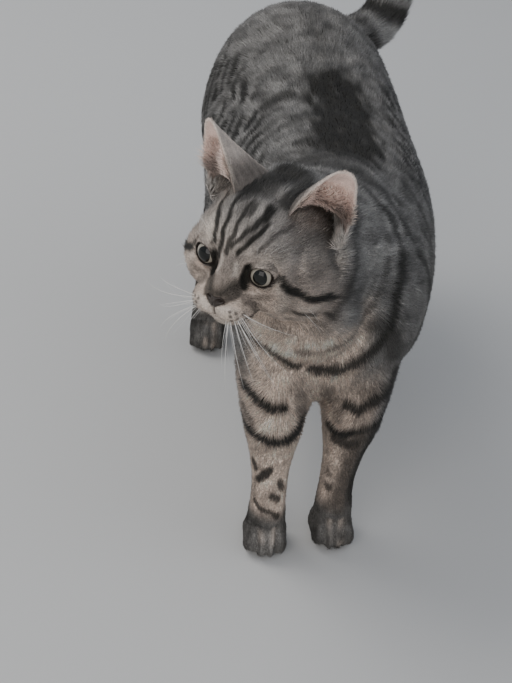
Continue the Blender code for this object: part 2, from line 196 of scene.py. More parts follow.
def wander(points, scale, seed, count=14):
    """A smooth random field from about -1 to 1, whose bumps are about scale apart."""
    draw = np.random.default_rng(seed)
    ways = unit(draw.normal(size=(count, 3))) * draw.uniform(0.6, 1.5, (count, 1))
    starts = draw.uniform(0.0, math.tau, count)
    waves = np.sin(points @ ways.T * (math.pi / scale) + starts)
    return waves.sum(1) / math.sqrt(count / 2) / 1.6


def way_along(points, path, out=None):
    """For each point: its distance from a path, the distance along it to there, and the way it runs.

    With out, most of the distance along the way out of the surface is left uncounted, so that a path
    marks the surface under or over it.
    """
    path = np.asarray(path, float)
    best = np.full(len(points), np.inf)
    along = np.zeros(len(points))
    way = np.zeros((len(points), 3))
    gone = 0.0
    for start, end in zip(path, path[1:]):
        step = end - start
        size = np.linalg.norm(step)
        t = np.clip((points - start) @ step / size**2, 0.0, 1.0)
        apart = points - start - t[:, None] * step
        square = (apart**2).sum(1)
        if out is not None:
            square -= 0.9 * (apart * out).sum(1) ** 2
        near = square < best
        best[near] = square[near]
        along[near] = gone + t[near] * size
        way[near] = step / size
        gone += size
    return np.sqrt(np.maximum(best, 0.0)), along, way


# ---------------------------------------------------------------------------------------------
# Meshes as arrays
# ---------------------------------------------------------------------------------------------


def select_only(*objects):
    """Makes these the only selected objects and the first of them active."""
    bpy.ops.object.select_all(action="DESELECT")
    for obj in objects:
        obj.select_set(True)
    bpy.context.view_layer.objects.active = objects[0]


def added(name, add, **settings):
    """A new primitive, light or camera, which is then the only thing selected."""
    bpy.ops.object.select_all(action="DESELECT")
    add(**settings)
    obj = bpy.context.active_object
    obj.name = name
    return obj


def linked(name, mesh):
    """A new object of a mesh, in the scene."""
    obj = bpy.data.objects.new(name, mesh)
    bpy.context.scene.collection.objects.link(obj)
    return obj


def turn_faces_out(obj):
    """Makes all the faces of a closed piece point outwards."""
    select_only(obj)
    bpy.ops.object.mode_set(mode="EDIT")
    bpy.ops.mesh.select_all(action="SELECT")
    bpy.ops.mesh.normals_make_consistent(inside=False)
    bpy.ops.object.mode_set(mode="OBJECT")


def applied(obj, kind, **settings):
    """Adds one modifier to an object and applies it."""
    select_only(obj)
    modifier = obj.modifiers.new(kind.lower(), kind)
    for name, value in settings.items():
        setattr(modifier, name, value)
    bpy.ops.object.modifier_apply(modifier=modifier.name)
    return obj


def read(items, name, width=1, kind=np.float32):
    """One attribute of many mesh items as an array."""
    found = np.empty(len(items) * width, kind)
    items.foreach_get(name, found)
    return found.reshape(-1, width) if width > 1 else found


def places(obj):
    """An object's points."""
    return read(obj.data.vertices, "co", 3).astype(float)


def place_all(obj, points):
    """Moves an object's points."""
    obj.data.vertices.foreach_set("co", np.asarray(points, np.float32).ravel())
    obj.data.update()


def normals(obj):
    """The way out at each point of an object."""
    return read(obj.data.vertices, "normal", 3).astype(float)


def edges(obj):
    """The pairs of points that an object's edges join."""
    return read(obj.data.edges, "vertices", 2, np.int32)


def keep(obj, name, values):
    """Stores a number, vector or colour for each point of an object."""
    kinds = {1: ("FLOAT", "value"), 3: ("FLOAT_VECTOR", "vector"), 4: ("FLOAT_COLOR", "color")}
    values = np.asarray(values, np.float32)
    kind, field = kinds[1 if values.ndim == 1 else values.shape[1]]
    attribute = obj.data.attributes.new(name, kind, "POINT")
    attribute.data.foreach_set(field, values.ravel())


def keep_colour(obj, colour):
    """Stores a colour for each point of an object, as its tint."""
    keep(obj, "tint", np.column_stack([colour, np.ones(len(colour))]))


def kept(obj, name, width=1):
    """What keep() stored."""
    field = {1: "value", 3: "vector", 4: "color"}[width]
    return read(obj.data.attributes[name].data, field, width).astype(float)


def relaxed(values, pairs, passes, share=0.5):
    """Draws each point's values towards those of its neighbours, some times over."""
    count = len(values)
    flat = values.reshape(count, -1).copy()
    share = np.broadcast_to(np.asarray(share, float), (count,))
    first, second = pairs.T
    ties = np.maximum(np.bincount(pairs.ravel(), minlength=count), 1)
    for _ in range(passes):
        for column in range(flat.shape[1]):
            line = flat[:, column]
            total = np.bincount(first, line[second], count) + np.bincount(second, line[first], count)
            flat[:, column] += share * (total / ties - line)
    return flat.reshape(values.shape)


def object_of(name, points, faces):
    """A new object from points and faces of one number of corners."""
    faces = np.asarray(faces, np.int32)
    mesh = bpy.data.meshes.new(name)
    mesh.vertices.add(len(points))
    mesh.vertices.foreach_set("co", np.asarray(points, np.float32).ravel())
    mesh.loops.add(faces.size)
    mesh.loops.foreach_set("vertex_index", faces.ravel())
    mesh.polygons.add(len(faces))
    mesh.polygons.foreach_set("loop_start", np.arange(0, faces.size, faces.shape[1], dtype=np.int32))
    mesh.update(calc_edges=True)
    mesh.shade_smooth()
    return linked(name, mesh)


def finish_piece(obj, material, slot, *nodes):
    """Gives a piece its material and its body, and hides the nodes that it stands for; its slot is not
    used.
    """
    obj.data.materials.clear()
    obj.data.materials.append(material)
    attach(obj, "root")
    if nodes:
        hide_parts(*nodes)


# ---------------------------------------------------------------------------------------------
# Shaders
# ---------------------------------------------------------------------------------------------


def maths(operation, reflected=False):
    """A method that adds one Math node for a Python operator, or for its reflected form."""

    def act(self, other):
        pair = (other, self) if reflected else (self, other)
        return self.paint.node("ShaderNodeMath", {"operation": operation}, *pair)

    return act


class Value:
    """A number or vector that a node gives, for use in Python expressions."""

    __add__, __radd__ = maths("ADD"), maths("ADD", True)
    __sub__, __rsub__ = maths("SUBTRACT"), maths("SUBTRACT", True)
    __mul__, __rmul__ = maths("MULTIPLY"), maths("MULTIPLY", True)

    def __init__(self, paint, socket):
        self.paint = paint
        self.socket = socket

    def step(self, start, end):
        """0 at start and 1 at end, with a smooth rise between."""
        limits = {"From Min": start, "From Max": end}
        smooth = {"interpolation_type": "SMOOTHSTEP"}
        return self.paint.node("ShaderNodeMapRange", smooth, Value=self, **limits)


class Paint:
    """One material being made from nodes."""

    def __init__(self, name, **fixed):
        self.material = bpy.data.materials.new(name)
        self.material.use_nodes = True
        self.tree = self.material.node_tree
        self.surface = self.tree.nodes["Principled BSDF"]
        for socket, value in fixed.items():
            self.surface.inputs[socket.replace("_", " ")].default_value = value

    def node(self, kind, settings=None, *inputs, output=0, **named):
        """Adds a node with its settings, and values or links for its inputs, and gives an output."""
        node = self.tree.nodes.new(kind)
        for name, value in (settings or {}).items():
            setattr(node, name, value)
        for socket, value in [*enumerate(inputs), *named.items()]:
            self.feed(node.inputs[socket], value)
        return Value(self, node.outputs[output])

    def feed(self, socket, value):
        """Links a value to a socket, or sets it."""
        if isinstance(value, Value):
            self.tree.links.new(value.socket, socket)
        elif hasattr(value, "__len__") and socket.type == "RGBA":
            socket.default_value = (*value, 1.0)[:4]
        else:
            socket.default_value = value

    def mix(self, share, first, second, way="MIX"):
        """A mix of two colours."""
        node = self.tree.nodes.new("ShaderNodeMix")
        node.data_type = "RGBA"
        node.blend_type = way
        for socket, value in (("Factor_Float", share), ("A_Color", first), ("B_Color", second)):
            self.feed(next(s for s in node.inputs if s.identifier == socket), value)
        return Value(self, next(s for s in node.outputs if s.identifier == "Result_Color"))

    def attribute(self, name, output):
        """An attribute of the piece's own mesh."""
        return self.node("ShaderNodeAttribute", {"attribute_name": name}, output=output)

    def noise(self, scale, detail=2.0, roughness=0.5):
        """Noise on Object coordinates, from 0 to 1."""
        where = self.node("ShaderNodeTexCoord", output="Object")
        settings = {"Scale": scale, "Detail": detail, "Roughness": roughness}
        return self.node("ShaderNodeTexNoise", None, Vector=where, **settings)

    def shaded_tint(self, shade):
        """The piece's own tint, times a shade."""
        grey = self.node("ShaderNodeCombineColor", None, shade, shade, shade)
        return self.mix(1.0, self.attribute("tint", "Color"), grey, "MULTIPLY")

    def bump(self, height, strength, distance):
        """A bumped normal, led to the surface."""
        normal = self.node("ShaderNodeBump", None, Strength=strength, Distance=distance, Height=height)
        self.feed(self.surface.inputs["Normal"], normal)

    def set(self, **values):
        """Leads values to the surface's sockets and gives the material."""
        for socket, value in values.items():
            self.feed(self.surface.inputs[socket.replace("_", " ")], value)
        return self.material


def coat_paint():
    """Hair: the markings, with a fine ticking over them."""
    paint = Paint("tabby coat", Roughness=0.74, Specular_IOR_Level=0.22, Sheen_Weight=0.05)
    ticking = paint.noise(900.0).step(0.3, 0.7) * 0.5 + 0.75
    return paint.set(Base_Color=paint.shaded_tint(ticking))


def skin_paint():
    """The skin under the hair, in the same markings, with the grain of short lying hair."""
    paint = Paint("tabby skin", Roughness=0.8, Specular_IOR_Level=0.25)
    grain = paint.noise(1400.0, 3.0)
    paint.bump(grain, 0.35, 0.0006)
    return paint.set(Base_Color=paint.shaded_tint(grain.step(0.25, 0.75) * 0.35 + 0.72))


PUPIL_BLACK = (0.004, 0.005, 0.004)


def eye_paint(colours, sizes):
    """A black pupil in a pale ring with fine spokes, a dark edge, and a wet gloss over all."""
    wet = {"Coat_Weight": 0.8, "Coat_Roughness": 0.02}
    paint = Paint("cat eye", Roughness=0.3, Specular_IOR_Level=0.0, **wet)
    pupil, iris_edge = sizes.pupil / 2 / MM, sizes.iris / 2 / MM
    where = paint.attribute("gaze", "Vector")
    flat = paint.node("ShaderNodeVectorMath", {"operation": "MULTIPLY"}, where, (1.09, 0.91, 0.0))
    out = paint.node("ShaderNodeVectorMath", {"operation": "LENGTH"}, flat, output="Value")
    way = paint.node("ShaderNodeVectorMath", {"operation": "NORMALIZE"}, flat)
    spokes = paint.node("ShaderNodeTexNoise", None, Vector=way, Scale=9.0, Detail=4.0, Roughness=0.7)
    iris = paint.mix(spokes.step(0.35, 0.7), tuple(colours.iris), tuple(colours.iris_pale))
    depth = out.step(pupil, iris_edge)
    iris = paint.mix(depth * 0.55, tuple(colours.iris), iris)
    pupil_edge = out.step(pupil - 0.12, pupil + 0.18)
    edge = out.step(iris_edge - 0.7, iris_edge + 0.1)
    ring = paint.mix(pupil_edge, PUPIL_BLACK, iris)
    return paint.set(Base_Color=paint.mix(edge, ring, tuple(colours.lid)))


def nose_paint(colours):
    """Damp brown nose leather with a fine pebbled grain."""
    paint = Paint("nose leather", Roughness=0.42, Specular_IOR_Level=0.5)
    where = paint.node("ShaderNodeTexCoord", output="Object")
    cells = paint.node("ShaderNodeTexVoronoi", None, Vector=where, Scale=1500.0)
    blotch = paint.noise(220.0, 3.0)
    paint.bump(cells, 0.4, 0.0003)
    tone = paint.mix(blotch.step(0.35, 0.7), tuple(colours.nose), tuple(colours.nose_edge))
    return paint.set(Base_Color=tone, Roughness=blotch * 0.2 + 0.32)


def whisker_paint(colours):
    """Stiff translucent white hair, a little darker here and there."""
    paint = Paint("whisker", Roughness=0.35)
    darker = tuple(0.85 * channel for channel in colours.whisker)
    return paint.set(Base_Color=paint.mix(paint.noise(60.0), tuple(colours.whisker), darker))


def floor_paint(colours):
    """A plain pale floor with the slightest unevenness."""
    paint = Paint("floor", Roughness=0.6, Specular_IOR_Level=0.3)
    darker = tuple(0.97 * channel for channel in colours.floor)
    return paint.set(Base_Color=paint.mix(paint.noise(3.0), tuple(colours.floor), darker))


# ---------------------------------------------------------------------------------------------
# Markings
# ---------------------------------------------------------------------------------------------

# Dark strokes on the head: the places they pass through, half their width and their strength.
# Those of the first list are on both sides of the face.
FACE_STROKES = (
    ("eye corner", (
        (34, -33, 2), (39, -28, -4), (44, -23, -8), (51, -17, -12), (57, -5, -16), (58, 16, -25),
    ), 3.2, 1.0),
    ("cheek", ((44, -22, -25), (51, -9, -30), (54, 8, -38), (52, 22, -44)), 2.0, 0.8),
    ("lower cheek", ((38, -22, -36), (45, -4, -46), (52, 14, -48)), 1.8, 0.45),
    ("eye's inner corner", ((14.5, -39.5, 5), (14.5, -40, 1), (14.5, -41, -5)), 3.9, 1.0),
    ("tear line", ((13, -42, -4), (12.5, -46, -9), (10, -51, -12.5), (7.5, -55, -14)), 2.9, 0.8),
    ("under eye", ((16, -46, -11), (22, -41, -13), (29, -36, -12)), 2.6, 0.42),
    ("muzzle top", ((17, -46, -14), (23, -40, -19), (27, -33, -26)), 3.0, 0.48),
    ("ruff", (
        (51, 36, 14), (56, 35, 5), (60, 32, -2), (61, 29, -11), (62, 26, -21), (60, 22, -32),
        (57, 16, -42),
    ), 3.4, 0.7),
    ("temple", ((38, -20, 20), (46, -8, 18), (52, 6, 12)), 2.0, 0.35),
)
BROW_STROKES = (
    ("outer right", (
        (-16, -39, 14), (-18, -34, 24), (-23, -25, 30), (-30, -10, 34), (-34, 4, 36),
    ), 2.0, 0.95),
    ("outer left", ((17, -38, 18), (21, -31, 26), (25, -23, 31), (28, -10, 36)), 1.6, 0.5),
    ("inner right", (
        (-10, -41, 7), (-9, -39, 19), (-12, -33, 29), (-14, -25, 35), (-15, -15, 39), (-13, -2, 43),
    ), 2.1, 0.95),
    ("middle", ((-4, -41, 13), (-3, -39, 23), (-3, -34, 30), (-3, -27, 37), (-2, -16, 42)), 1.8, 0.85),
    ("inner left", ((-1, -41, 18), (2, -38, 24), (5, -35, 29), (9, -32, 33), (9, -25, 37)), 1.9, 0.9),
    ("near left", ((5, -41, 15), (8, -39, 20), (11, -36, 26), (14, -31, 31), (16, -24, 35)), 1.9, 0.95),
    ("spot", ((11, -12, 41), (12, -24, 37)), 3.4, 1.0),
    ("small spot", ((1, -26, 38), (2, -18, 41)), 2.4, 0.8),
    ("small spot right", ((-12, -18, 39), (-7, -10, 42)), 2.4, 0.7),
    ("crown", ((-15, 0, 46), (-8, 14, 48), (-2, 30, 46), (0, 46, 36)), 13.0, 0.9),
    ("crown left", ((16, 0, 43), (17, 14, 45), (15, 30, 43)), 7.0, 0.8),
)
# Roots of the whiskers, as dark dots on both lips.
WHISKER_DOTS = (
    (13, -57, -20.5), (17, -55, -21), (21, -51, -22), (25, -47, -23.5),
    (14, -57, -24), (18, -54, -25), (22, -50, -26), (26, -45, -27.5),
    (15, -56, -28), (19, -52, -29), (23, -47, -30),
)
# Dark strokes on the body, in the axes whose barrel middle is BARREL; a few of them are painted shade, as
# marked.
BODY_STROKES = (
    ("necklace right", (
        (-84, -205, 214), (-76, -232, 194), (-62, -248, 183), (-55, -249, 178), (-46, -249, 174),
        (-36, -246, 169),
    ), 4.2, 0.95),
    ("necklace left", (
        (-25, -242, 165), (-18, -241, 162), (-9, -241, 162), (-1, -241, 164), (8, -239, 168),
        (15, -237, 172), (22, -235, 180), (27, -234, 192), (31, -230, 210), (35, -216, 232),
        (37, -204, 246),
    ), 4.6, 0.95),
    ("second necklace", (
        (-42, -258, 191), (-33, -260, 189), (-22, -259, 190), (-8, -255, 196), (4, -246, 204),
        (14, -236, 216), (21, -227, 229), (24, -216, 243),
    ), 3.6, 0.65),
    ("third necklace", ((-13, -258, 204), (-2, -250, 214), (8, -238, 225), (12, -230, 238)), 3.0, 0.5),
    ("nape left", (
        (2, -183, 281), (12, -187, 275), (23, -190, 265), (32, -192, 254), (38, -202, 242),
    ), 3.6, 0.8),
    ("nape second", ((14, -160, 282), (26, -166, 272), (38, -172, 258), (46, -180, 240)), 4.0, 0.6),
    ("right arm top", (
        (-76, -232, 146), (-66, -246, 142), (-60, -252, 137), (-53, -256, 135), (-42, -256, 136),
    ), 4.7, 1.0),
    ("right arm middle", (
        (-74, -228, 112), (-64, -247, 106), (-58, -255, 107), (-49, -258, 106), (-39, -257, 108),
        (-30, -250, 114), (-26, -242, 122),
    ), 4.9, 1.0),
    ("right arm outer", ((-72, -234, 126), (-68, -244, 120), (-64, -250, 112)), 3.4, 0.8),
    ("right arm spot", ((-61, -243, 79), (-59, -245, 76)), 4.2, 0.9),
    ("right arm spots", ((-55, -249, 66), (-50, -252, 71), (-45, -254, 78)), 4.4, 0.95),
    ("right arm inner spot", ((-34, -252, 66), (-33, -250, 61)), 3.6, 0.85),
    ("right wrist spot", ((-40, -254, 54), (-36, -254, 51)), 3.8, 0.9),
    ("right wrist", ((-60, -244, 46), (-52, -252, 42), (-43, -257, 39), (-33, -254, 36)), 2.4, 0.9),
    ("left arm top", (
        (5, -236, 128), (15, -239, 127), (24, -238, 130), (34, -233, 134), (44, -220, 140),
    ), 4.0, 0.95),
    ("left arm middle", (
        (-4, -226, 104), (0, -232, 101), (6, -237, 101), (14, -241, 106), (26, -240, 109),
        (36, -232, 113), (44, -214, 118),
    ), 4.4, 1.0),
    ("left arm patch", ((3, -236, 94), (10, -240, 92), (18, -240, 92)), 6.2, 0.9),
    ("left arm spot", ((0, -232, 64), (3, -234, 61)), 2.6, 0.7),
    ("left arm low spot", ((1, -234, 52), (5, -236, 50)), 3.0, 0.85),
    # Painted shade on the left arm's outer side, away from the light.
    ("left arm side", ((32, -228, 100), (30, -230, 80), (27, -232, 58), (25, -232, 40)), 9.5, 0.8),
    ("left arm front", (
        (21, -239, 98), (20, -240, 80), (19, -240, 64), (16, -241, 50), (13, -241, 36),
    ), 9.5, 0.74),
    # Painted shade on the inner sides of the forelegs, between them.
    ("right arm inner side", ((-29, -248, 144), (-28, -246, 131), (-27, -244, 118)), 6.5, 0.5),
    ("left arm inner side", ((-8, -238, 144), (-4, -233, 130), (0, -233, 116)), 6.0, 0.45),
    ("left arm fringe", ((47, -216, 143), (31, -232, 142), (17, -236, 139)), 2.6, 0.45),
    ("left elbow", ((44, -214, 150), (42, -220, 128), (38, -224, 108)), 7.0, 0.7),
    ("saddle", ((14, 20, 280), (15, -20, 281), (10, -62, 281), (4, -104, 280)), 31.0, 1.0),
    ("saddle spur", ((-30, -88, 274), (-20, -84, 277), (-8, -78, 280)), 7.0, 0.8),
    ("loin patch", ((-46, 4, 262), (-38, 12, 267), (-27, 12, 272)), 7.5, 0.8),
    ("back patch", ((-40, -47, 268), (-26, -42, 274)), 6.0, 0.6),
    ("back patch right", ((-55, -60, 260), (-45, -52, 266)), 5.0, 0.6),
    ("nape", (
        (-50, -118, 270), (-36, -142, 283), (-27, -155, 289), (-12, -157, 290), (6, -164, 287),
    ), 14.0, 0.72),
    ("behind left ear", ((-9, -221, 287), (-9, -231, 282), (-11, -240, 277)), 3.4, 0.75),
    ("left neck spot", ((24, -187, 269), (31, -185, 262)), 4.6, 0.75),
    ("left neck low spot", ((37, -205, 242), (38, -213, 234), (35, -221, 227)), 4.2, 0.8),
    # Painted shade along the left shoulder's edge, on the side away from the light.
    ("left shoulder edge", (
        (54, -186, 238), (62, -185, 226), (67, -185, 210), (68, -184, 190), (62, -195, 172),
    ), 6.5, 0.75),
    ("left chest low", ((18, -236, 200), (29, -236, 193), (36, -232, 182), (42, -226, 170)), 8.5, 0.72),
    ("withers", ((-34, -132, 276), (-12, -130, 284), (10, -128, 282)), 15.0, 0.8),
    ("shoulder arc", ((52, -120, 262), (62, -134, 240), (64, -150, 214), (58, -168, 188)), 5.0, 0.65),
    ("shoulder arc right", (
        (-66, -120, 262), (-76, -134, 240), (-78, -150, 214), (-72, -168, 188),
    ), 5.0, 0.65),
    ("second shoulder arc", ((54, -88, 264), (70, -98, 240), (76, -108, 210), (74, -118, 180)), 5.0, 0.6),
)
# Pale patches on the face, on both sides, and painted light before the ears.
PALE_AND_LIT_STROKES = (
    ("brow", ((6, -43, 8), (7.5, -45, 0)), 2.2, 0.7),
    ("above eye", ((20, -37, 19), (30, -30, 18), (38, -20, 26)), 5.0, 0.25),
    ("beside eye", ((33, -33, -4), (38, -28, -12), (36, -28, -20)), 3.4, 0.55),
    ("muzzle side", ((4, -58, -24), (12, -57, -24), (21, -52, -27)), 5.0, 0.75),
    ("cheek patch", ((45, -20, -19), (51, -8, -23)), 3.0, 0.6),
    ("chin", ((0, -50, -40), (8, -46, -40)), 7.2, 1.0),
    # Painted light before each ear, to lift the shade that the ear casts on the head.
    ("before ear", ((27, -2, 37), (33, 4, 33), (38, 12, 28), (42, 16, 22)), 6.0, 0.4),
)
# A painted pool of light over the right eye only, where the window's light falls on the brow.
RIGHT_BROW_LIGHT = (
    ("right brow", ((-21, -36, 18), (-28, -31, 25), (-33, -20, 32), (-37, -8, 38)), 6.5, 0.75),
)
# The shade beside and above the nose, on both sides.
NOSE_STROKES = (
    ("nose shade", ((9, -48, -6), (6, -54, -11), (3, -58, -12.5)), 4.4, 0.8),
)

# The tabby pattern's own measures, in millimetres.
BACK_HEIGHT = 276.0
STRIPE_SPACING = 24.0
BAR_SPACING = 26.0  # on the hind legs
RING_SPACING = 40.0  # round the tail
DARK_TIP = (420.0, 436.0)  # the heights between which the tail's tip turns dark
DARK_PAWS = (40.0, 29.0)  # the heights between which the paws turn dark
SOFT_STROKE = 8.0  # strokes from this half width on have soft edges
BROKEN_STROKE = 20.0  # and those from this one on have edges that break up into locks


def stroke(points, out, path, half, soft):
    """How much each point is inside a stroke over the surface, from 0 to 1."""
    reach = 1.5 * half + 6.0
    near = ((points > np.min(path, axis=0) - reach) & (points < np.max(path, axis=0) + reach)).all(1)
    found = np.zeros(len(points))
    if near.any():
        gap = way_along(points[near], path, out[near])[0]
        found[near] = ramp(gap, half * (1 + soft), half * (1 - soft))
    return found


def mirrored(path):
    """The same path on the other side of the head."""
    return [(-x, y, z) for x, y, z in path]


def drawn(strokes, points, out, soft, on_both_sides):
    """How strongly the strokes of a list mark each place of the head, from 0 to 1."""
    found = np.zeros(len(points))
    for _, path, half, strength in strokes:
        for one in (path, mirrored(path)) if on_both_sides else (path,):
            found = np.maximum(found, strength * stroke(points, out, one, half, soft))
    return found


def tail_path():
    """The tail's middle line through its pieces."""
    pieces = ("rump", "tail_root", "tail_lower", "tail_upper", "tail_tip")
    return np.array([middle(node) for node in pieces])


def toes(points, where, width):
    """How near each place is to lines along the paws, from 0 to 1; where is in half widths of a paw."""
    found = np.zeros(len(points))
    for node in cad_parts:
        if "paw" in node:
            low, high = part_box(node)
            x, y, _ = ((points - np.array((low + high) / 2)) / MM).T
            half = (high - low).x / 2 / MM
            inside = (np.abs(x) < half + 2.0) & (y < 2.0) & (y > -45.0)
            inside &= points[:, 2] < 27.0 * MM
            gap = np.min([np.abs(x - place * half) for place in where], axis=0)
            found = np.maximum(found, bell(gap, width) * ramp(y, -4.0, -11.0) * inside)
    return found


def toe_clefts(points):
    """How near each place is to the clefts between the toes, from 0 to 1; points in metres."""
    return toes(points, (-0.43, 0.0, 0.43), 1.5)


def toe_tops(points):
    """The paler tops of the two middle toes; points in metres."""
    uneven = np.clip(0.65 + 0.7 * wander(points, 0.011, 55), 0.0, 1.0)
    return toes(points, (-0.22, 0.24), 3.0) * uneven * ramp(points[:, 2] / MM, 5.0, 10.0)


def head_darkness(local, out):
    """How dark the tabby markings and the painted shade beside the nose make each place of the head, and
    how pale its patches and its painted light make it.
    """
    rough = local + 1.1 * np.stack([wander(local, 9.0, seed) for seed in (31, 32, 33)], 1)
    dark = np.maximum(
        drawn(BROW_STROKES, rough, out, 0.4, False), drawn(FACE_STROKES, rough, out, 0.4, True)
    )
    # Painted shade beside and above the nose.
    dark = np.maximum(dark, drawn(NOSE_STROKES, local, out, 0.7, True))
    # Pale patches, with painted light over the right brow and before the ears.
    pale = np.maximum(
        drawn(RIGHT_BROW_LIGHT, rough, out, 0.8, False), drawn(PALE_AND_LIT_STROKES, rough, out, 0.8, True)
    )
    for x, y, z in WHISKER_DOTS:
        for side in SIDES:
            gap = np.linalg.norm(local - (x * side, y, z), axis=1)
            dark = np.maximum(dark, 0.75 * ramp(gap, 2.0, 0.8))
    return dark, pale


def body_darkness(points, out):
    """How dark the tabby markings and the painted shade make each place of the body; points in
    millimetres.
    """
    rough = points + 1.8 * np.stack([wander(points, 22.0, seed) for seed in (41, 42, 43)], 1)
    rough += 0.8 * np.stack([wander(points, 6.0, seed) for seed in (44, 45, 46)], 1)
    x, y, z = rough.T
    dark = np.zeros(len(points))
    for _, path, half, strength in BODY_STROKES:
        mark = stroke(rough, out, path, half, 0.3 if half < SOFT_STROKE else 0.6)
        if half > BROKEN_STROKE:
            mark = ramp(mark + 0.2 * wander(points * (1.0, 0.45, 1.0), 6.0, 57), 0.05, 0.95)
        dark = np.maximum(dark, strength * mark)
    # Broken stripes that run forwards as they come down the flanks, from the shoulders to the hips.
    drop = np.maximum(BACK_HEIGHT - z, 0.0)
    lag = np.where(drop < 45.0, 2.2 * drop, 99.0 + 0.35 * (drop - 45.0))
    phase = (y + lag + 6.0 * wander(points, 30.0, 50)) / STRIPE_SPACING
    line = ramp(np.abs(phase - np.round(phase)), 0.33, 0.22)
    broken = ramp(wander(points, 17.0, 47) + 0.38, -0.12, 0.2)
    trunk = ramp(y, -125.0, -95.0) * ramp(drop, 8.0, 22.0) * ramp(z, 84.0, 112.0)
    dark = np.maximum(dark, 0.97 * line * broken * trunk)
    # Small blotches over the neck, the shoulders and the flanks.
    blotch = ramp(wander(points * (1.0, 1.0, 0.6), 8.5, 56), 0.25, 0.65) * ramp(z, 105.0, 140.0)
    dark = np.maximum(dark, 0.42 * blotch * (1.0 - 0.7 * ramp(-out[:, 1], 0.3, 0.7)))
    # The spine's dark line over the loin and rump.
    spine = bell(x - 6.0, 13.0) * ramp(y, -10.0, 30.0) * ramp(z, 252.0, 268.0)
    dark = np.maximum(dark, 0.7 * spine * (0.7 + 0.3 * wander(points, 16.0, 48)))
    # Bars round the hind legs.
    bar = ramp(np.abs((z + 0.25 * y) / BAR_SPACING % 1.0 - 0.5), 0.30, 0.16)
    hind = ramp(y, 20.0, 40.0) * ramp(z, 172.0, 140.0) * ramp(z, 22.0, 34.0)
    dark = np.maximum(dark, 0.7 * bar * hind * ramp(wander(points, 20.0, 49), -0.5, 0.1))
    return np.maximum(dark, 0.45 * ramp(z, *DARK_PAWS))


def tail_darkness(points):
    """Rings round the tail and its dark tip; points in millimetres."""
    _, along, _ = way_along(points, in_body(tail_path()))
    ring = ramp(np.abs((along + 8.0) / RING_SPACING % 1.0 - 0.5), 0.30, 0.17)
    return np.maximum(0.9 * ring, ramp(points[:, 2], *DARK_TIP))


def warmth(points, out):
    """How buff the body's ground colour is, and how far each place is on the arms and the chest."""
    x, y, z = points.T
    front = ramp(-out[:, 1], 0.25, 0.85) * ramp(y, -160.0, -205.0) * ramp(z, 236.0, 205.0)
    front *= ramp(x, 24.0, 4.0)
    arms = ramp(y, -170.0, -205.0) * ramp(z, 168.0, 140.0)
    inner = ramp(np.abs(x + 14.0), 58.0, 30.0)
    # Painted shade: the arms lose their buff, and go darker, on the sides turned away from the front, and
    # most on the left arm's outer side.
    arms *= np.clip(0.3 + 0.8 * ramp(-out[:, 1], -0.3, 0.5) + 0.5 * inner, 0.0, 1.0)
    arms *= 1.0 - 0.85 * ramp(out[:, 0], 0.2, 0.65) * ramp(x, -6.0, 4.0)
    belly = ramp(-out[:, 2], 0.15, 0.75) * ramp(z, 190.0, 120.0)
    hind = ramp(z, 110.0, 60.0) * ramp(y, 0.0, 40.0) * 0.6
    return np.maximum.reduce([front, arms, 0.8 * belly, hind]) * ramp(z, 28.0, 42.0), arms, front


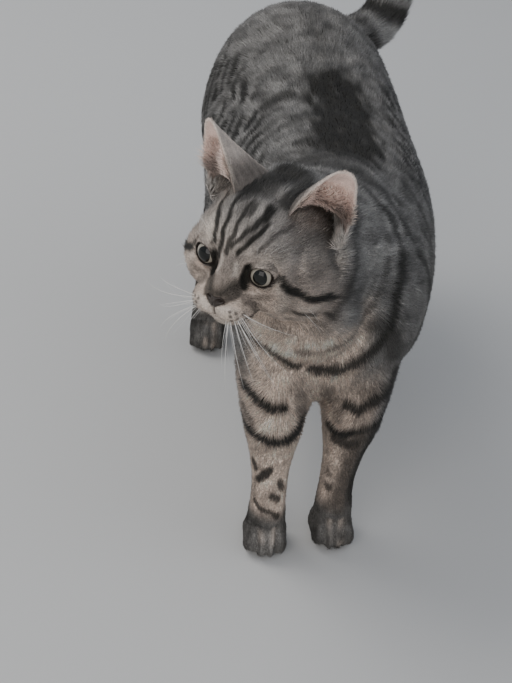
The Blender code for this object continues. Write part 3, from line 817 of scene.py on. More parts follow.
def markings(points, out, of_head, of_tail, colours):
    """The colour of the coat at each place of its tips: ground colours, marks and pale patches, with
    painted shade and painted light in places.
    """
    world = in_body(points)
    local = in_head(points)
    tone = {name: np.array(getattr(colours, name)) for name in ("silver", "buff", "cream", "dark")}
    x, y, z = world.T
    across, back, rise = local.T
    off_head = 1.0 - of_head
    warm, arms, front = warmth(world, out)
    far = np.linalg.norm(local - NOSE_TIP, axis=1)
    face = 0.1 + ramp(rise, 30.0, -24.0) * 0.78 + 0.15 * ramp(far, 80.0, 34.0)
    face = np.clip(face + 0.3 * ramp(rise, -14.0, -24.0), 0.0, 1.0) * ramp(back, 34.0, 0.0)
    warm = warm * off_head + face * of_head
    ground = tone["silver"] + (tone["buff"] - tone["silver"]) * warm[:, None]
    # How light the ground is: ticked and clouded all over, with painted shade low on the sides, on the
    # left arm and on the nose's bridge, and lighter on the forehead, the chest and the left of the neck.
    light = 1.0 + 0.17 * wander(points, 0.006, 51) + 0.10 * wander(points, 0.0022, 52)
    light -= 0.3 * ramp(wander(points, 0.013, 54), 0.0, 0.7) * (1.0 - 0.6 * warm)
    # Painted shade low on both flanks, where the sides turn away from the light.
    low_side_shade = ramp(z, 200.0, 140.0) * ramp(np.abs(out[:, 0]), 0.35, 0.8) * (1.0 - warm)
    light *= 1.0 - 0.42 * low_side_shade * off_head
    chest = (0.36 + 0.22 * ramp(z, 165.0, 190.0)) * front
    light *= 1.0 + 0.34 * ramp(rise, 2.0, 16.0) * of_head + chest * off_head
    collar = ramp(x, -10.0, 4.0) * ramp(x, 44.0, 30.0) * ramp(y, -165.0, -185.0)
    light *= 1.0 + 0.38 * collar * ramp(z, 212.0, 232.0) * off_head
    # Painted shade on the left arm, on the side of the cat away from the light.
    light *= 1.0 - 0.16 * arms * ramp(x, -12.0, 0.0) * off_head
    # Painted shade on the nose's bridge, which is lit strongly from above.
    bridge = bell(across, 13.0) * ramp(rise, -17.0, -9.0) * ramp(rise, 26.0, 8.0)
    light *= 1.0 - 0.48 * bridge * of_head
    ground = ground * (light * (1.0 + 0.35 * of_tail))[:, None]
    head_dark, pale = head_darkness(local, out @ np.array(head_matrix())[:3, :3])
    dark = body_darkness(world, out) * off_head * (1.0 - of_tail)
    tops = toe_tops(points)
    ground = towards(ground, tone["buff"], 0.6 * tops)
    dark = dark * (1.0 - 0.85 * tops)
    dark = dark + tail_darkness(world) * of_tail + head_dark * of_head
    muzzle = ramp(far, 24.0, 12.0) * ramp(rise, -16.0, -20.0)
    pale = np.maximum(pale, muzzle) * of_head
    ground = towards(ground, tone["cream"], 0.66 * pale)
    mark = tone["dark"] * (1.0 + 0.25 * wander(points, 0.005, 53)[:, None])
    return np.clip(towards(ground, mark, np.clip(dark, 0.0, 1.0)), 0.004, 1.0)


# ---------------------------------------------------------------------------------------------
# Skin
# ---------------------------------------------------------------------------------------------

OVERLAP = 0.4 * MM  # how far the pieces are swollen, to close the thin cuts between them
FINE_GRAIN = 1.6 * MM  # of the mesh that gives the skin its shape
COARSE_GRAIN = 3.3 * MM  # of the skin's own mesh, before it is cut finer on the head and paws


def flesh_union():
    """All the pieces of flesh and the eyeballs in one mesh, swollen so that the cuts close."""
    mesh = bmesh.new()
    for node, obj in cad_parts.items():
        if not node.startswith(("ear", "whisker")):
            mesh.from_mesh(obj.data)
    bmesh.ops.remove_doubles(mesh, verts=mesh.verts, dist=0.01 * MM)
    mesh.normal_update()
    for vertex in mesh.verts:
        vertex.co += vertex.normal * OVERLAP
    data = bpy.data.meshes.new("skin")
    mesh.to_mesh(data)
    mesh.free()
    return linked("skin", data)


def near_head(points):
    """1 in a box round the head and 0 away from it, for where the skin needs a finer mesh."""
    local = in_head(points) - (0.0, -8.0, 0.0)
    return ramp(np.abs(local / (62.0, 52.0, 52.0)).max(1), 1.15, 0.95)


def near_face(points):
    """1 in a smaller box round the front of the face."""
    local = in_head(points) - (0.0, -48.0, -6.0)
    return ramp(np.abs(local / (42.0, 34.0, 38.0)).max(1), 1.1, 0.95)


def near_paws(points):
    """1 on the paws."""
    return ramp(points[:, 2], 44.0 * MM, 34.0 * MM)


def split_where(obj, near):
    """Cuts each face where near is over a half into four."""
    faces = obj.data.polygons
    wanted = near(read(faces, "center", 3).astype(float)) > 0.5
    select_only(obj)
    bpy.context.tool_settings.mesh_select_mode = (False, False, True)
    for items in (obj.data.vertices, obj.data.edges):
        items.foreach_set("select", np.zeros(len(items), bool))
    faces.foreach_set("select", wanted)
    bpy.ops.object.mode_set(mode="EDIT")
    bpy.ops.mesh.subdivide(number_cuts=1)
    bpy.ops.object.mode_set(mode="OBJECT")


def parts_near(obj):
    """For each point of the skin, the name of the CAD node that lies nearest."""
    names = []
    corners = []
    faces = []
    for node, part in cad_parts.items():
        if node.startswith("whisker"):
            continue
        start = len(corners)
        corners += [vertex.co for vertex in part.data.vertices]
        faces += [[start + index for index in face.vertices] for face in part.data.polygons]
        names += [node] * len(part.data.polygons)
    tree = BVHTree.FromPolygons(corners, faces)
    return [names[tree.find_nearest(Vector(point))[2]] for point in places(obj)]


def part_of(node):
    """The kind of part that a node is, as LIES names it."""
    return next(kind for kind in (*LIES, "eye", "ear") if node.startswith(kind))


def share_of(kinds, wanted, pairs, passes):
    """How far each point is on the wanted kinds of part, from 0 to 1, going over smoothly."""
    return relaxed(np.array([kind in wanted for kind in kinds], float), pairs, passes)


def lies_of(kinds, points, pairs):
    """The coat's lie at each point, going over smoothly from one part to the next."""
    table = relaxed(np.array([LIES.get(kind, LIES["head"]) for kind in kinds]), pairs, 30)
    # On the head it goes by the distance from the nose.
    far = np.linalg.norm(in_head(points) - NOSE_TIP, axis=1)
    near = ramp(far, 10.0, 92.0)
    depth, length, width, rise = (
        least + more * near for least, more in ((0.8, 2.2), (2.4, 8.2), (0.46, 0.5), (11.0, 5.0))
    )
    face = np.stack([depth, length, width, rise, 3.2 - 1.9 * ramp(far, 20.0, 90.0)], 1)
    return towards(table, face, share_of(kinds, HEAD_KINDS, pairs, 12))


def laid_along(ways, out):
    """Ways at length 1 along a surface, from ways that may point in or out of it."""
    return unit(ways - (ways * out).sum(1, keepdims=True) * out)


def flow_of(kinds, points, out, pairs):
    """The way the coat lies at each point, along the skin."""
    flow = np.array([FLOWS.get(kind, (0.0, 0.0, 0.0)) for kind in kinds])
    is_tail = np.array([kind == "tail" for kind in kinds])
    flow[is_tail] = way_along(points[is_tail], tail_path())[2]
    is_head = np.array([kind in HEAD_KINDS for kind in kinds])
    away = in_head(points[is_head]) - NOSE_TIP + (0.0, -6.0, 2.0)
    flow[is_head] = turned_out_of_head(unit(away) + (0.0, 0.25, -0.08))
    flow = laid_along(flow, out)
    for _ in range(6):
        flow = laid_along(relaxed(flow, pairs, 4), out)
    return flow


GAZE_TURNS = {-1: 13.0, 1: 2.0}  # how far each ball looks nosewards of its lids' opening, in degrees
# The lids, in millimetres along the gaze from the eye's middle, or away from the gaze.
EYE_BACK = -4.0  # what is further back isn't the eye's
LID_REACH = 20.0
LID_SNAP = 0.42  # how near to the lids' edge the points are that are moved onto it
LID_SPREAD = (6.5, 1.2)  # outside the edge, where the face goes over into the lids
BALL_BEHIND = 2.4  # how far behind the ball's front the skin lies inside the edge


def eye_radius():
    """The eyeball's radius in millimetres."""
    low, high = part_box("eye_left")
    return (high - low).x / 2 / MM


def eye_frame(side):
    """An eye's middle and its ways outwards, up and along the gaze, in the head's frame."""
    centre = in_head(np.array([middle("eye_left" if side > 0 else "eye_right")]))[0]
    gaze = unit(np.array((0.30 * side, -1.0, 0.02)))
    outward = unit(np.cross(gaze, (0.0, 0.0, 1.0)) * -side)
    up = np.cross(outward, gaze) * side
    return centre, outward, up * np.sign(up[2]), gaze


def lid_edge(angle, sizes):
    """How far the lids' edge is from the gaze, in millimetres, at an angle that is 0 outwards."""
    edge = np.full(len(angle), sizes.eye_opening / 2 / MM)
    # The upper lid's middle hangs lower, and the inner and the outer corner are drawn out.
    for towards_degrees, further, spread in ((92.0, -1.3, 0.85), (200.0, 1.1, 0.36), (12.0, 0.5, 0.45)):
        apart = np.abs((angle - math.radians(towards_degrees) + math.pi) % math.tau - math.pi)
        edge += further * bell(apart, spread)
    return edge


def eye_places(local, side, sizes):
    """Places near an eye: outwards, up, along the gaze, off its axis, the lid's edge there."""
    centre, outward, up, gaze = eye_frame(side)
    from_eye = local - centre
    wide, rise, depth = from_eye @ outward, from_eye @ up, from_eye @ gaze
    return wide, rise, depth, np.hypot(wide, rise), lid_edge(np.arctan2(rise, wide), sizes)


def with_lids(local, sizes):
    """Moves the skin round each eye into lids that lie on the ball, open in the middle.

    The points nearest the lids' edge are snapped to it. The lids have a thin raised rim, and the
    upper one a crease; inside the edge the skin goes down behind the ball's front.
    """
    ball = eye_radius()
    lid = ball + sizes.lid_thickness / MM
    for side in SIDES:
        centre, outward, up, gaze = eye_frame(side)
        wide, rise, depth, off, edge = eye_places(local, side, sizes)
        near = (off < LID_REACH) & (depth > EYE_BACK)
        snap = near & (np.abs(off - edge) < LID_SNAP)
        scale = np.where(snap, edge / np.maximum(off, 0.1), 1.0)
        wide, rise, off = wide * scale, rise * scale, off * scale
        over = np.sqrt(np.maximum(lid**2 - np.minimum(off, lid - 0.6) ** 2, 0.0))
        over += 0.30 * bell(off - edge - 0.6, 0.6)
        over -= 0.65 * bell(off - edge - 2.7, 0.7) * ramp(rise, 1.0, 5.0)
        share = ramp(off, edge + LID_SPREAD[0], edge + LID_SPREAD[1])
        lidded = depth + (over - depth) * share
        under = np.sqrt(np.maximum(ball**2 - np.minimum(off, ball - 0.3) ** 2, 0.0)) - BALL_BEHIND
        inside = ramp(off, edge + 0.05, edge - 0.75)
        made = lidded + (under - lidded) * inside
        new = centre + wide[:, None] * outward + rise[:, None] * up + made[:, None] * gaze
        local = np.where(near[:, None], new, local)
    return local


# The nose leather's top and height, and the places across and up that the mouth's line passes
# through from its middle outwards, in the head's millimetres.
NOSE_TOP = -13.2
NOSE_HEIGHT = 8.4
BACKWARDS = np.array((0.0, 1.0, 0.0))
MOUTH = ((0, -30.0), (3.5, -31.4), (8.5, -32.4), (14.0, -31.6), (19.0, -28.6), (23.0, -24.8))


def from_mouth(local, line):
    """How far each place of the head is from a line over both sides of its front."""
    flat = np.stack([np.abs(local[:, 0]), np.zeros(len(local)), local[:, 2]], 1)
    return way_along(flat, [(across, 0.0, up) for across, up in line])[0]


def with_mouth(local):
    """Cuts the split of the upper lip and the line of the closed mouth, and shapes the pads."""
    x, y, z = local.T
    front = ramp(y, -26.0, -36.0)
    split = bell(x, 0.9) * ramp(z, -33.0, -30.0) * ramp(z, -16.0, -20.0)
    line = bell(from_mouth(local, MOUTH), 1.1) * ramp(np.abs(x), 26.0, 20.0)
    pads = bell(np.hypot((np.abs(x) - 11.5) / 9.0, (z + 24.0) / 6.0), 1.0)
    return local + (front * (1.5 * split + 1.9 * line - pads))[:, None] * BACKWARDS


def nose_half_width(fall):
    """Half the nose leather's width, from its top, 0, to its foot, 1."""
    return 4.8 + 2.3 * ramp(fall, 0.0, 0.34) - 5.3 * ramp(fall, 0.38, 1.0)


def nose_fall(z):
    """How far down the nose leather a height is, from 0 to 1."""
    return (NOSE_TOP - z) / NOSE_HEIGHT


def with_nose_bed(local):
    """Sinks the skin behind the nose leather, so that its nostrils stay open."""
    fall = nose_fall(local[:, 2])
    inside = ramp(np.abs(local[:, 0]) - nose_half_width(np.clip(fall, 0.0, 1.0)), 0.0, -1.6)
    inside *= ramp(fall, 0.02, 0.16) * ramp(fall, 0.98, 0.86) * (local[:, 1] < -46.0)
    return local + (3.6 * inside)[:, None] * BACKWARDS


def mouth_gap(local):
    """How far each place of the head is from the mouth's line and the lip's split."""
    gap = from_mouth(local, ((0.0, -21.0), *MOUTH))
    return np.where(local[:, 1] < -30.0, gap, 99.0)


def ear_axes(side):
    """An ear's foot, its tip, and its ways up, forwards and across, in the head's frame."""
    flip = np.array((side, 1.0, 1.0))
    foot, tip = EAR_FOOT * flip, EAR_TIP * flip
    up = unit(tip - foot)
    facing = math.radians(EAR_FACING)
    forward = np.array((math.sin(facing) * side, -math.cos(facing), 0.0))
    forward = unit(forward - forward @ up * up)
    return foot, tip, up, forward, np.cross(up, forward)


def ear_cup(taper):
    """How deep an ear's cup is, in millimetres; taper is 1 at the foot and 0 at the tip."""
    return 42.6 * taper**1.15 + 1.4


def ear_shell(side, sizes):
    """One thin cupped ear, a little narrower than its solid, as a closed shell."""
    foot, tip, up, forward, across = ear_axes(side)
    length = np.linalg.norm(tip - foot)
    rows, columns = 30, 26
    points = []
    for row in range(rows + 1):
        rise = -0.30 + 1.30 * row / rows
        taper = max(1.0 - max(rise, 0.0), 0.0)
        half = 19.6 * taper**0.45 + 1.0
        for column in range(columns + 1):
            bend = math.radians(-EAR_BEND + 2 * EAR_BEND * column / columns)
            curl = 0.9 * bell(abs(math.degrees(bend)) - EAR_BEND, 14.0) * taper
            place = foot + up * (length * rise) + across * (half * math.sin(bend))
            points.append(place - forward * (ear_cup(taper) * math.cos(bend) - 1.0 + curl))
    faces = []
    for row in range(rows):
        for column in range(columns):
            corner = row * (columns + 1) + column
            faces.append((corner, corner + 1, corner + columns + 2, corner + columns + 1))
    obj = object_of("ear", out_of_head(points), faces)
    applied(obj, "SOLIDIFY", thickness=sizes.ear_thickness, offset=0.0, use_even_offset=True)
    turn_faces_out(obj)
    # The flesh and hair at the bottom of the cup bring its inside forwards.
    local = in_head(places(obj))
    rise, _, ahead = ear_places(local, side)
    axis = foot + (rise * length)[:, None] * up + forward * 4.0
    facing = ramp((normals(obj) * turned_out_of_head(unit(axis - local))).sum(1), 0.0, 0.3)
    front = ear_front(rise)
    lift = 0.5 * (front - ahead) * (ahead < front) * facing
    lift *= ramp(rise, 0.95, 0.35) * ramp(rise, -0.1, 0.22)
    place_all(obj, out_of_head(local + lift[:, None] * forward))
    return obj


def ear_front(rise):
    """How far forwards the ear's edges are at each height."""
    taper = np.clip(1.0 - rise, 0.001, 1.0)
    return 1.0 - 0.105 * ear_cup(taper) - 0.9 * taper


def ear_places(local, side):
    """How high up an ear each place is, from 0 to 1, and how far across and ahead of its axis."""
    foot, tip, up, forward, across = ear_axes(side)
    from_foot = local - foot
    return from_foot @ up / np.linalg.norm(tip - foot), from_foot @ across, from_foot @ forward


def colour_ears(obj, tint, of_ear, colours):
    """Pinkish bare insides, darker low down, rims in painted light, and short grey-brown hair on the
    backs, in painted shade low on their inner side.
    """
    local = in_head(places(obj))
    out = normals(obj)
    inner = np.zeros(len(local))
    for side in SIDES:
        foot, tip, up, forward, across = ear_axes(side)
        rise, wide, ahead = ear_places(local, side)
        axis = foot + (rise * np.linalg.norm(tip - foot))[:, None] * up + forward * 4.0
        to_axis = turned_out_of_head(unit(axis - local))
        mine = of_ear == side
        facing = ramp((out * to_axis).sum(1), -0.1, 0.3)
        haired = np.array(colours.ear_back)
        inside = np.array(colours.ear) * (1.0 + 0.12 * wander(local, 5.0, 61)[:, None])
        inside = towards(inside, 0.5 * haired, 0.6 * ramp(rise, 0.42, 0.08))
        outer_foot = ramp(rise, 0.5, 0.15) * ramp(wide * side, 3.0, 12.0)
        inside = inside * (1.0 - 0.4 * outer_foot)[:, None]
        back = haired * (1.0 + 0.2 * wander(local, 3.0, 62)[:, None])
        # Painted shade low on the inner side of each ear's back, where the crown's fur shades it.
        crown_shade = ramp(rise, 0.6, 0.2) * ramp(wide * side, 2.0, -10.0)
        back = back * (1.0 - 0.68 * crown_shade)[:, None]
        tint = np.where(mine[:, None], towards(back, inside, facing), tint)
        # Painted light along the rims and the tip, lit from behind.
        rim = np.maximum(ramp(np.abs(ahead - ear_front(rise)), 0.8, 0.3), ramp(rise, 0.985, 1.0))
        tint = towards(tint, colours.cream, 0.5 * rim * ramp(rise, 0.0, 0.2) * mine)
        inner = np.where(mine, facing, inner)
    return tint, inner


def nearest_ear(obj, ears):
    """For each point of the skin: -1 or 1 if it is on that ear, and 0 elsewhere."""
    found = np.zeros(len(obj.data.vertices))
    points = places(obj)
    high = in_head(points)[:, 2] > 24.0
    for side, tree in ears.items():
        for index in np.nonzero(high)[0]:
            if tree.find_nearest(Vector(points[index]), 0.15 * MM)[0] is not None:
                found[index] = side
    return found


def make_skin(sizes, colours):
    """The whole skin: fused, refined at the head and paws, sunk under the coat, and sculpted."""
    skin = flesh_union()
    fine = linked("fine", skin.data.copy())
    applied(fine, "REMESH", mode="VOXEL", voxel_size=FINE_GRAIN)
    points = places(fine)
    plain = 1.0 - np.maximum(near_head(points), near_paws(points))
    pairs = edges(fine)
    points = relaxed(points, pairs, 8)
    points = relaxed(points, pairs, 60, 0.5 * plain)
    place_all(fine, points)
    applied(skin, "REMESH", mode="VOXEL", voxel_size=COARSE_GRAIN)
    place_all(skin, relaxed(places(skin), edges(skin), 6))
    split_where(skin, lambda at: np.maximum(near_head(at), near_paws(at)))
    split_where(skin, near_face)
    place_all(skin, relaxed(places(skin), edges(skin), 4))
    applied(skin, "SHRINKWRAP", target=fine, wrap_method="NEAREST_SURFACEPOINT")
    bpy.data.objects.remove(fine)
    points = relaxed(places(skin), edges(skin), 2)
    place_all(skin, points)
    pairs = edges(skin)
    lies = lies_of([part_of(node) for node in parts_near(skin)], points, pairs)
    flat_out = unit(relaxed(normals(skin), pairs, 3))
    clefts = toe_clefts(points)
    points = relaxed(points - flat_out * (lies[:, :1] + 1.8 * clefts[:, None]) * MM, pairs, 3, 0.4)
    local = in_head(points)
    on_head = near_head(points) > 0.0
    local[on_head] = with_nose_bed(with_lids(with_mouth(local[on_head]), sizes))
    points[on_head] = out_of_head(local[on_head])
    place_all(skin, points)
    ears = {side: ear_shell(side, sizes) for side in SIDES}
    trees = {}
    for side, ear in ears.items():
        trees[side] = BVHTree.FromObject(ear, bpy.context.evaluated_depsgraph_get())
    for ear in ears.values():
        applied(skin, "BOOLEAN", operation="UNION", solver="EXACT", object=ear)
    for ear in ears.values():
        bpy.data.objects.remove(ear)
    applied(skin, "TRIANGULATE")
    store_skin(skin, trees, sizes, colours)
    skin.data.shade_smooth()
    return skin


def store_skin(skin, trees, sizes, colours):
    """Works out and stores the skin's colours and how the coat lies on it."""
    points = places(skin)
    pairs = edges(skin)
    out = normals(skin)
    nodes = parts_near(skin)
    kinds = [part_of(node) for node in nodes]
    of_ear = nearest_ear(skin, trees)
    lies = lies_of(kinds, points, pairs)
    flow = flow_of(kinds, points, out, pairs)
    of_head = share_of(kinds, HEAD_KINDS, pairs, 10)
    of_tail = share_of(kinds, ("tail",), pairs, 10)
    tips = points + unit(relaxed(out, pairs, 6)) * lies[:, :1] * MM
    tint = markings(tips, out, of_head, of_tail, colours)
    # Painted shade in the clefts between the toes.
    tint *= 1.0 - 0.5 * toe_clefts(points)[:, None]
    local = in_head(points)
    marked = tint.copy()
    tint, inner = colour_ears(skin, tint, of_ear, colours)
    bare = np.zeros(len(points))
    for side in SIDES:
        wide, rise, depth, off, edge = eye_places(local, side, sizes)
        off = np.where(depth > EYE_BACK, off - edge, 99.0)
        low = ramp(rise, 3.0, -4.0)
        below = ramp(off, 4.6, 2.2) * ramp(off, 1.2, 1.9) * ramp(wide, -4.0, 0.0) * low
        tint = towards(tint, colours.cream, 0.45 * below)
        tint = towards(tint, colours.lid, ramp(off - 0.45 * low, 1.0, 0.45))
        bare = np.maximum(bare, ramp(off, 1.2, 0.6))
    lips = 0.8 * ramp(mouth_gap(local), 1.3, 0.5)
    tint = towards(tint, colours.lid, lips)
    bare = np.maximum(bare, lips)
    fall = nose_fall(local[:, 2])
    leather = ramp(np.abs(local[:, 0]) - nose_half_width(np.clip(fall, 0.0, 1.0)), 0.9, 0.0)
    leather *= ramp(fall, -0.06, 0.04) * ramp(fall, 1.05, 0.95) * (local[:, 1] < -44.0)
    tint = towards(tint, colours.nose_edge, leather)
    bare = np.maximum(bare, leather)
    # On the ears the hair points up; low inside them it is long and points out over the edges.
    for side in SIDES:
        _, _, up, forward, _ = ear_axes(side)
        rise = ear_places(local, side)[0]
        long = inner * ramp(rise, 0.72, 0.3) * ramp(rise, 0.02, 0.2)
        ways = turned_out_of_head(up) + 1.1 * long[:, None] * turned_out_of_head(forward)
        length = 3.1 - 1.1 * ramp(rise, 0.6, 1.0) + 8.5 * long
        lie = (0.0 * long, length, 0.46 + 0.16 * long, 7.0 + 19.0 * long, 2.6 - 0.9 * inner)
        mine = (of_ear == side)[:, None]
        flow = np.where(mine, laid_along(ways, out), flow)
        lies = np.where(mine, np.stack(lie, 1), lies)
    crowd = lies[:, 4] * (1.0 - bare)
    crowd *= 1.0 - ramp(-out[:, 2], 0.5, 0.8) * ramp(points[:, 2] / MM, 6.0, 4.0)
    keep_colour(skin, tint)
    keep(skin, "flow", flow)
    keep(skin, "crowd", crowd)
    keep(skin, "patch", np.array([PATCH_OF.get(node, 0) for node in nodes], float))
    # Where the tint is the markings' own, a tuft takes the markings at its own height.
    marked = ramp(np.abs(tint - marked).max(1), 0.02, 0.0)
    for name, values in zip(TUFT_NUMBERS, (*lies.T[1:4], of_head, of_tail, marked)):
        keep(skin, name, values)


# ---------------------------------------------------------------------------------------------
# Coat
# ---------------------------------------------------------------------------------------------

# The coat's pieces, and the nodes that each one covers.
PATCHES = {
    "coat_head": ("head", "jaw", "nose", "eye_left", "eye_right", "ear_left", "ear_right"),
    "coat_neck": ("neck",),
    "coat_chest": ("chest",),
    "coat_shoulders": ("shoulder_left", "shoulder_right"),
    "coat_barrel": ("barrel",),
    "coat_rump": ("rump",),
    "coat_thighs": ("thigh_left", "thigh_right"),
    "coat_tail": ("tail_root", "tail_lower", "tail_upper", "tail_tip"),
    "coat_foreleg_left": ("foreleg_left", "forepaw_left"),
    "coat_foreleg_right": ("foreleg_right", "forepaw_right"),
    "coat_hindleg_left": ("shank_left", "hindfoot_left", "hindpaw_left"),
    "coat_hindleg_right": ("shank_right", "hindfoot_right", "hindpaw_right"),
}
PATCH_OF = {node: index for index, nodes in enumerate(PATCHES.values()) for node in nodes}
TUFTS_IN_PIECE = 49000  # a tuft has four triangles
TUFT_NUMBERS = ("length", "width", "rise", "of_head", "of_tail", "marked")
UV_PATCH = 0.003  # how much of the piece's map a tuft takes, each way


def unrolled(points, out, name):
    """Each root's place on a patch's surface unrolled round its own long axis, from 0 to 1."""
    axis = np.array((0.0, 1.0, 0.0))
    if "leg" in name or "tail" in name:
        axis = np.array((0.0, 0.0, 1.0))
    if "head" in name:
        axis = turned_out_of_head((0.0, -1.0, 0.0))
    side = unit(np.cross(axis, (0.35, 0.2, 1.0)))
    other = np.cross(axis, side)
    centre = (points.min(0) + points.max(0)) / 2
    spread = points - centre
    round_it = np.arctan2(spread @ other, spread @ side) / math.tau + 0.5
    tilt = np.arctan2(out @ axis, np.linalg.norm(np.cross(out, axis), axis=1))
    along = spread @ axis
    along = (along - along.min()) / max(np.ptp(along), 1e-9) * 0.6 + (tilt / math.pi + 0.5) * 0.4
    along = (along - along.min()) / max(np.ptp(along), 1e-9)
    return 0.01 + 0.98 * np.stack([round_it, along], 1)


def roots_on(skin, share):
    """Random places on the skin for the tufts, crowded as it says, with all that they need there."""
    draw = np.random.default_rng(7)
    corners = read(skin.data.polygons, "vertices", 3, np.int32)
    points = places(skin)
    crowd = kept(skin, "crowd")[corners].mean(1)
    sides = points[corners[:, 1:]] - points[corners[:, :1]]
    area = np.linalg.norm(np.cross(sides[:, 0], sides[:, 1]), axis=1) / 2 / MM**2
    wanted = area * crowd * share
    number = np.floor(wanted + draw.random(len(wanted))).astype(int)
    face = np.repeat(np.arange(len(corners)), number)
    u, v = draw.random((2, len(face)))
    flip = u + v > 1.0
    u, v = np.where(flip, 1.0 - u, u), np.where(flip, 1.0 - v, v)
    weights = np.stack([1.0 - u - v, u, v], 1)[:, :, None]

    def at(values):
        values = values.reshape(len(values), -1)
        return (values[corners[face]] * weights).sum(1)

    return {
        "at": at(points),
        "out": unit(at(normals(skin))),
        "flow": at(kept(skin, "flow", 3)),
        "tint": at(kept(skin, "tint", 4))[:, :3],
        "patch": kept(skin, "patch")[corners[face, 0]].astype(int),
        **{name: at(kept(skin, name))[:, 0] for name in TUFT_NUMBERS},
    }


def tufts(name, root, seed, colours):
    """Makes one coat piece: a flat three-sided tuft at each root, along the lie of the coat."""
    draw = np.random.default_rng(seed)
    count = len(root["at"])
    at, out = root["at"], root["out"]
    flow = laid_along(root["flow"], out)
    side = np.cross(out, flow)
    lock = wander(at, 0.009, seed + 100)
    lock_too = wander(at, 0.007, seed + 101)
    # Neighbours lean together as locks, and each tuft a little its own way.
    yaw = 0.20 * lock + draw.normal(0.0, 0.14, count)
    rise = np.radians(root["rise"] * (1.0 + 0.16 * lock_too) + draw.normal(0.0, 3.2, count))
    rise = np.clip(rise, 0.05, 0.8)
    way = flow * np.cos(yaw)[:, None] + side * np.sin(yaw)[:, None]
    along = way * np.cos(rise)[:, None] + out * np.sin(rise)[:, None]
    across = unit(np.cross(out, along))
    over = np.cross(along, across)
    length = root["length"] * MM * draw.uniform(0.72, 1.18, count)
    width = root["width"] * MM * draw.uniform(0.75, 1.2, count)
    base = at - out * (0.25 * MM)
    half = across * (width / 2)[:, None]
    corners = np.stack([
        base - half,
        base + half,
        base + over * (width * 0.38)[:, None],
        base + along * length[:, None],
    ], 1)
    corners[..., 2] = np.maximum(corners[..., 2], 0.1 * MM)
    faces = np.array(((0, 2, 1), (0, 1, 3), (1, 2, 3), (2, 0, 3)))
    faces = (np.arange(count)[:, None, None] * 4 + faces).reshape(-1, 3)
    obj = object_of(name, corners.reshape(-1, 3), faces)
    # A tuft is in the colours that the markings have near its foot and near its tip.
    ends = []
    for share in (0.3, 0.82):
        place = base + along * (length * share)[:, None] + out * (0.2 * MM)
        marks = markings(place, out, root["of_head"], root["of_tail"], colours)
        ends.append(towards(root["tint"], marks, root["marked"]))
    foot, tip = ends
    tone = np.clip(1.0 + draw.normal(0.0, 0.13, count) + 0.07 * lock, 0.45, 1.6)[:, None]
    # Painted shade and light: each tuft is darker at its foot, deep in the coat where the tufts shade
    # each other, and lighter at its tip.
    tint = np.stack([foot * 0.84, foot * 0.84, foot * 0.9, tip * 1.12], 1)
    keep_colour(obj, np.clip(tint * tone[:, None], 0.0, 1.0).reshape(-1, 3))
    # On the map each tuft is a small patch of its own, turned at random.
    uv = unrolled(at, out, name)
    turn = draw.uniform(0.0, math.tau, count)
    spots = np.array(((-0.5, -0.4), (0.5, -0.4), (0.0, 0.1), (0.0, 0.5))) * UV_PATCH
    wave = np.stack([np.cos(turn), -np.sin(turn), np.sin(turn), np.cos(turn)], 1).reshape(-1, 2, 2)
    uv = uv[:, None, :] + np.einsum("nij,kj->nki", wave, spots)
    layer = obj.data.uv_layers.new(name="OFBake")
    layer.uv.foreach_set("vector", uv.reshape(-1, 2)[faces.ravel()].astype(np.float32).ravel())
    return obj


# ---------------------------------------------------------------------------------------------
# Whiskers and other long hairs
# ---------------------------------------------------------------------------------------------


def strands(name, paths, radii, sides=5):
    """Tapered round hairs along paths of equal numbers of points."""
    paths = np.asarray(paths, float)
    count, steps, _ = paths.shape
    along = unit(np.gradient(paths, axis=1))
    side = unit(np.cross(along, (0.3, 0.5, 0.81)))
    other = np.cross(along, side)
    taper = np.linspace(1.0, 0.12, steps)[None, :, None, None] * np.asarray(radii)[:, None, None, None]
    turn = math.tau * np.arange(sides) / sides
    ring = np.cos(turn)[:, None] * side[:, :, None, :] + np.sin(turn)[:, None] * other[:, :, None, :]
    points = (paths[:, :, None, :] + ring * taper).reshape(-1, 3)
    faces = []
    for hair in range(count):
        start = hair * steps * sides
        for step in range(steps - 1):
            for turn_at in range(sides):
                a = start + step * sides + turn_at
                b = start + step * sides + (turn_at + 1) % sides
                faces.append((a, b, b + sides, a + sides))
    obj = object_of(name, points, faces)
    select_only(obj)
    bpy.ops.object.mode_set(mode="EDIT")
    bpy.ops.mesh.select_mode(type="EDGE")
    bpy.ops.mesh.select_all(action="DESELECT")
    bpy.ops.mesh.select_non_manifold()
    bpy.ops.mesh.edge_face_add()
    bpy.ops.object.mode_set(mode="OBJECT")
    turn_faces_out(obj)
    obj.data.shade_smooth()
    return obj


def curve_through(root, middle_at, tip, steps=10):
    """A smooth hair from its root through its middle to its tip."""
    t = np.linspace(0.0, 1.0, steps)[:, None]
    root, middle_at, tip = (np.asarray(place, float) for place in (root, middle_at, tip))
    bend = 2.0 * middle_at - (root + tip) / 2
    return (1 - t) ** 2 * root + 2 * t * (1 - t) * bend + t**2 * tip


